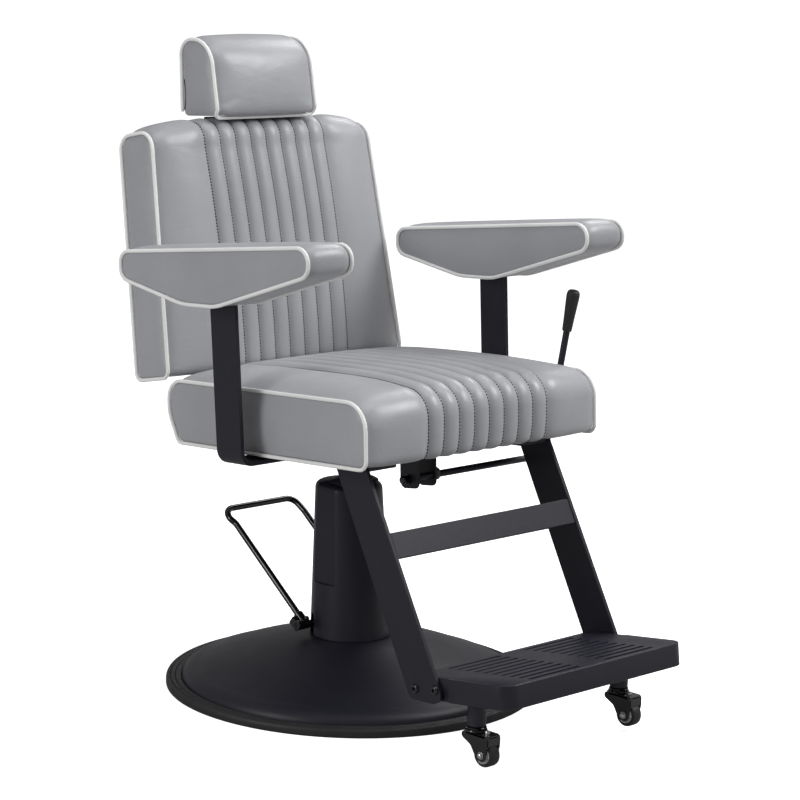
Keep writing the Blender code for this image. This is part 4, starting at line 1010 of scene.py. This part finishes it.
TRAY_HALF = 0.2178
TRAY_WIDE = 0.133                # how far back the tray is wider than the gap between the bars
TRAY_DEPTH = 0.212
TRAY_HEIGHT = 0.039
TRAY_AXES = SEAT_AXES @ Matrix.Translation((0.0, -0.563, 0.1317)) @ rotation(-3.8, "X")
TRAY_BOLTS = (("upper", -0.3625, 0.0975), ("lower", -0.407, 0.102))
SLOT_ROWS = 10
SLOT_PITCH = 0.0198
SLOT_WIDTH = 0.0084


def make_footrest():
    side_view = outline([(-0.179, UNDER_BOARD, 0.0), (-0.2525, UNDER_BOARD, 0.0), (-0.424, 0.088, 0.014),
                         (-0.404, 0.078, 0.012), (-0.349, 0.078, 0.013)])
    for side, label in SIDES:
        bar = prism(side_view, *sorted((side * (BAR_OUTER - BAR_THICK), side * BAR_OUTER)), "X")
        xs = sorted((side * 0.15, side * (BAR_OUTER - 0.0005)))
        tab = box((xs[0], -0.251, UNDER_BOARD - BAR_THICK), (xs[1], -0.112, UNDER_BOARD))
        solid(f"footrest_strap_{label}", merged(bar, tab), BLACK, "seat", (f"footrest_bar_{label}",),
              SEAT_AXES, bevel=0.0012)
        for place, y, z in TRAY_BOLTS:
            head = moved(socket_screw(0.0078, 0.0044, 0.0034), rotation(90.0 * side, "Y"))
            solid(f"footrest_screw_{label}_{place}", at(head, side * BAR_OUTER, y, z), GLOSS, "seat",
                  (f"footrest_bolt_{label}_{place}",), SEAT_AXES, smooth_deg=30)
    cross = mm((-300.5, 345), (-293.5, 341.7), (-312, 301.5), (-319, 304.8))
    solid("footrest_stretcher", prism(cross, -BAR_INNER, BAR_INNER, "X"), BLACK, "seat",
          ("footrest_crossbar",), SEAT_AXES, bevel=0.0012)
    make_tray()


def make_tray():
    """The footplate: a deep tray upside down, its top pierced by two groups of slots."""

    def plan(inset):
        wide, narrow = TRAY_HALF - inset, BAR_INNER - inset
        step, back, corner = TRAY_WIDE - inset, TRAY_DEPTH - inset, 0.028 - inset
        return outline([(-wide, inset, corner), (wide, inset, corner), (wide, step, 0.0), (narrow, step, 0.0),
                        (narrow, back, 0.003), (-narrow, back, 0.003), (-narrow, step, 0.0),
                        (-wide, step, 0.0)], 10)

    tray = solid("footplate_tray", prism(plan(0.0), -TRAY_HEIGHT, 0.0), BLACK, "seat", ("foot_plate",),
                 TRAY_AXES, bevel=0.0026, segments=4)
    finished = evaluated_mesh(tray)
    tray.modifiers.clear()
    tray.data = finished
    slots = []
    for side in (-1, 1):
        near, far = sorted((side * 0.029, side * 0.152))
        for row in range(SLOT_ROWS):
            low = 0.0118 + SLOT_PITCH * row
            high = low + SLOT_WIDTH
            slot = [(near, low, 0.004), (far, low, 0.004), (far, high, 0.004), (near, high, 0.004)]
            slots.append(prism(outline(slot, 5), -0.012, 0.012))
    for maker in (prism(plan(0.003), -TRAY_HEIGHT - 0.01, -0.0035), merged(*slots)):
        cut(tray, maker, TRAY_AXES)
    tray.data.shade_smooth()
    tray.data.set_sharp_from_angle(angle=math.radians(35.0))
    blocks = []
    for side in (-1, 1):
        near, far = sorted((side * (BAR_INNER - 0.0105), side * (BAR_INNER - 0.001)))
        blocks.append(box((near, 0.146, -TRAY_HEIGHT + 0.002), (far, 0.209, -0.002)))
    solid("footplate_doublers", merged(*blocks), BLACK, "seat", (), TRAY_AXES, bevel=0.001)


STEM_X, STEM_Y = 0.174, -0.48
WHEEL_Y, WHEEL_Z = -0.505, 0.0295


def make_casters():
    for side, label in SIDES:
        x = side * STEM_X
        post = mm((0, 72.2), (14.3, 72.2), (15.5, 73.4), (15.5, 150), (0, 150))
        solid(f"caster_post_{label}", at(turned(post, 48), x, STEM_Y), BLACK, "seat")
        washers = mm((0, 62), (15, 62), (17.6, 63.4), (18.2, 65.2), (17.6, 66.8), (15, 67.6), (15, 68.4),
                     (16.4, 69), (16.8, 70.2), (16, 71.2), (0, 71.4))
        cheek = outline(mm((18.5, 62.8, 6), (-39, 62.8, 5), (-39, 44, 4), (-33.5, 20.5, 8.5),
                           (-16.5, 20.5, 8.5), (-2, 43, 16), (18.5, 53, 7)), 6)
        plates = [prism(cheek, *sorted((face * 0.0124, face * 0.0152)), "X") for face in (-1, 1)]
        roof = prism(outline(mm((-15.2, -39, 6), (15.2, -39, 6), (15.2, 18.5, 10),
                                (-15.2, 18.5, 10)), 6), 0.0595, 0.0632)
        lip = box((-0.0148, -0.039, 0.046), (0.0148, -0.0362, 0.061))
        fork = merged(turned(washers, 48), roof, lip, *plates)
        solid(f"caster_horn_{label}", at(fork, x, STEM_Y), GLOSS, f"caster_{label}",
              (f"caster_fork_{label}",), bevel=0.0008, segments=2)
        nut = mirrored(mm((0, 20), (2.6, 19.8), (4.4, 18.6), (5, 16.8), (5, 15.5), (6.2, 15.4)))
        stud = mm((0, 63), (4, 63), (4.2, 66), (3, 68.2), (0, 68.8))
        axle = merged(along_x(turned(nut, 24), x, WHEEL_Y, WHEEL_Z), at(turned(stud, 20), x, STEM_Y - 0.0245))
        solid(f"caster_axle_bolt_{label}", axle, STEEL, f"caster_{label}")
        tyre = mirrored(mm((15, 9.8), (17, 10.8), (18.6, 10.4), (19.8, 9.2), (20.4, 7)), (0.0205, 0.0))
        rim = mirrored(mm((6.4, 10.6), (7.5, 11), (8.5, 8.8), (10, 8), (10.8, 9), (11.8, 11.4),
                          (13.8, 11.7), (14.9, 10.6)))
        for name, profile, material, node in (("tread", tyre, RUBBER, "tyre"), ("rim", rim, STEEL, "hub")):
            solid(f"caster_{name}_{label}", along_x(turned(profile, 64, closed=True), x, WHEEL_Y, WHEEL_Z),
                  material, f"caster_wheel_{label}", (f"caster_{node}_{label}",), smooth_deg=50)


# ---- recline lever

LEVER_AXIS = Vector((0.0, -0.166, 0.3975))
LEVER_X = 0.302
LEVER_LEAN = Vector((0.0, -0.238, 0.971)).normalized()
PIN_Y, PIN_Z = -0.15, 0.393     # the bracket's pin


def make_lever():
    corner = Vector((LEVER_X, 0.0, 0.0))
    path = filleted([Vector((-0.016, 0.0, 0.0)), corner, corner + LEVER_LEAN * 0.24], 0.018, 12)
    rod = swept([p + LEVER_AXIS for p in path], 0.006, 20)
    solid("lever_rod", rod, BLACK, "recline_handle", ("recline_lever",), SEAT_AXES, smooth_deg=60)
    grip = mm((0, 235), (7.4, 235), (8.6, 236.2), (8.8, 240), (9.2, 250), (9.8, 262), (10.6, 276),
              (11.3, 288), (11.8, 297), (11.8, 301), (11.4, 305), (10.2, 308.2), (8.2, 310), (5, 310.8),
              (0, 311))
    across = Vector((1.0, 0.0, 0.0))
    turn = Matrix((across, LEVER_LEAN.cross(across), LEVER_LEAN)).transposed().to_4x4()
    placed = at(moved(turned(grip, 40), turn), *(LEVER_AXIS + corner))
    solid("lever_grip", placed, RUBBER, "recline_handle", ("recline_grip",), SEAT_AXES, smooth_deg=50)


def make_lever_bracket():
    top = UNDER_BOARD - 0.008 - 0.0003
    plate = outline([(-0.1755, top, 0.0), (-0.1755, 0.379, 0.01), (-0.131, 0.376, 0.012), (-0.131, top, 0.0)])
    bracket = merged(prism(plate, -0.026, -0.022, "X"), prism(plate, 0.015, 0.019, "X"),
                     box((-0.0225, -0.1755, top - 0.004), (0.0155, -0.131, top)))
    solid("lever_bracket", bracket, BLACK, "seat", ("recline_bracket",), SEAT_AXES, bevel=0.0008)
    knob = turned(mm((0, 0), (6.8, 0), (7.5, 0.8), (7.5, 10), (6.4, 11.8), (4, 12.6), (0, 12.6)), 32)
    washer = disc(0.009, -0.0022, 0.0)
    facing_right = rotation(-90.0, "Y")
    head = at(moved(merged(knob, washer), facing_right), -0.0285, PIN_Y, PIN_Z)
    solid("lever_bracket_knob", head, GLOSS, "seat", (), SEAT_AXES, smooth_deg=30)
    tip = at(moved(socket_screw(0.0066, 0.005, 0.003, 36), facing_right), 0.015, PIN_Y, PIN_Z)
    pin = merged(along_x(disc(0.004, -0.026, 0.0225), 0.0, PIN_Y, PIN_Z), tip)
    solid("lever_bracket_bolt", pin, STEEL, "seat", ("recline_bracket_pin",), SEAT_AXES, smooth_deg=30)


# ---- CAD parts that keep their shape


def refined(node, material, bevel):
    """A copy of a flat CAD part with its edges rounded, in the same place."""
    source = frame["nodes"][node]
    maker = bmesh.new()
    maker.from_mesh(source.data)
    bmesh.ops.remove_doubles(maker, verts=maker.verts, dist=1e-6)
    bmesh.ops.dissolve_limit(maker, angle_limit=math.radians(0.6), verts=maker.verts, edges=maker.edges)
    solid(f"{node}_finished", maker, material, source["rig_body"], (node,), bevel=bevel, segments=2)


def finish_cad_parts():
    for node in ("seat_frame", "hinge_bracket_left", "hinge_bracket_right", "back_frame", "headrest_guide",
                 "strut_cylinder"):
        refined(node, BLACK, 0.0005)
    refined("seat_board", BOARD, 0.0012)
    refined("headrest_bar", BLACK, 0.0006)
    refined("swivel_head", CAST, 0.0008)
    looks = {
        STEEL: ("swivel_bearing", "pedal_shaft", "pump_plunger", "plunger_spring", "flange_bolt_1",
                "flange_bolt_2", "flange_bolt_3", "ram_cylinder", "hinge_pin_left", "hinge_pin_right",
                "strut_rod"),
        CAST: ("pump_body", "pump_gland", "pedal_cam", "recline_cam"),
        BLACK: ("base_plate",),
    }
    for material, nodes in looks.items():
        for node in nodes:
            for slot in frame["nodes"][node].material_slots:
                slot.material = material


# ---- studio

FLOOR_SIZE = 200.0
LIT_POINT = Vector((0.0, 0.0, 0.55))


def make_studio():
    """A white sweep: the camera sees it white, while the light it gives is softer and comes from above."""
    mesh = bpy.data.meshes.new("floor")
    corners = [(x * FLOOR_SIZE, y * FLOOR_SIZE, 0.0) for x, y in ((-1, -1), (1, -1), (1, 1), (-1, 1))]
    mesh.from_pydata(corners, [], [(0, 1, 2, 3)])
    mesh.materials.append(floor_material())
    new_object("floor", mesh)

    world = bpy.data.worlds.new("studio")
    SCENE.world = world
    world.use_nodes = True
    nodes, links = world.node_tree.nodes, world.node_tree.links
    strength = nodes.new("ShaderNodeMix")
    strength.inputs["A"].default_value = WORLD_LIGHT
    strength.inputs["B"].default_value = 1.0
    links.new(nodes.new("ShaderNodeLightPath").outputs["Is Camera Ray"], strength.inputs["Factor"])
    links.new(strength.outputs["Result"], nodes["Background"].inputs["Strength"])
    nodes["Background"].inputs["Color"].default_value = (1.0, 1.0, 1.0, 1.0)

    for name, toward, distance, size, radiance in LIGHTS:
        direction = Vector(toward).normalized()
        light = bpy.data.lights.new(name, "AREA")
        light.shape = "RECTANGLE"
        light.size, light.size_y = size
        light.energy = radiance * size[0] * size[1] * math.pi
        made = new_object(name, light)
        made.location = LIT_POINT + direction * distance
        made.rotation_euler = direction.to_track_quat("Z", "Y").to_euler()

    SCENE.view_settings.view_transform = "Standard"
    SCENE.view_settings.look = "None"


def make_camera():
    azimuth = math.radians(-44.52)
    elevation = math.radians(10.3)
    roll = math.radians(1.67)
    distance = 4.61927
    back = Vector((math.sin(azimuth) * math.cos(elevation), -math.cos(azimuth) * math.cos(elevation),
                   math.sin(elevation)))
    right = Vector((math.cos(azimuth), math.sin(azimuth), 0.0))
    up = back.cross(right)
    target = Vector((0.0, 0.0, 0.51698)) + right * 0.07363
    turned_right = right * math.cos(roll) + up * math.sin(roll)
    turned_up = up * math.cos(roll) - right * math.sin(roll)
    data = bpy.data.cameras.new("camera")
    data.sensor_width = 36.0
    data.lens = 118.29
    data.clip_end = 300.0
    turn = Matrix((turned_right, turned_up, back)).transposed().to_4x4()
    SCENE.camera = new_object("camera", data)
    SCENE.camera.matrix_world = Matrix.Translation(target + back * distance) @ turn


make_camera()
make_studio()
make_seat()
make_back()
make_headrest()
make_armrests()
make_base()
make_pedal()
make_arm_brackets()
make_footrest()
make_casters()
make_lever()
make_lever_bracket()
finish_cad_parts()
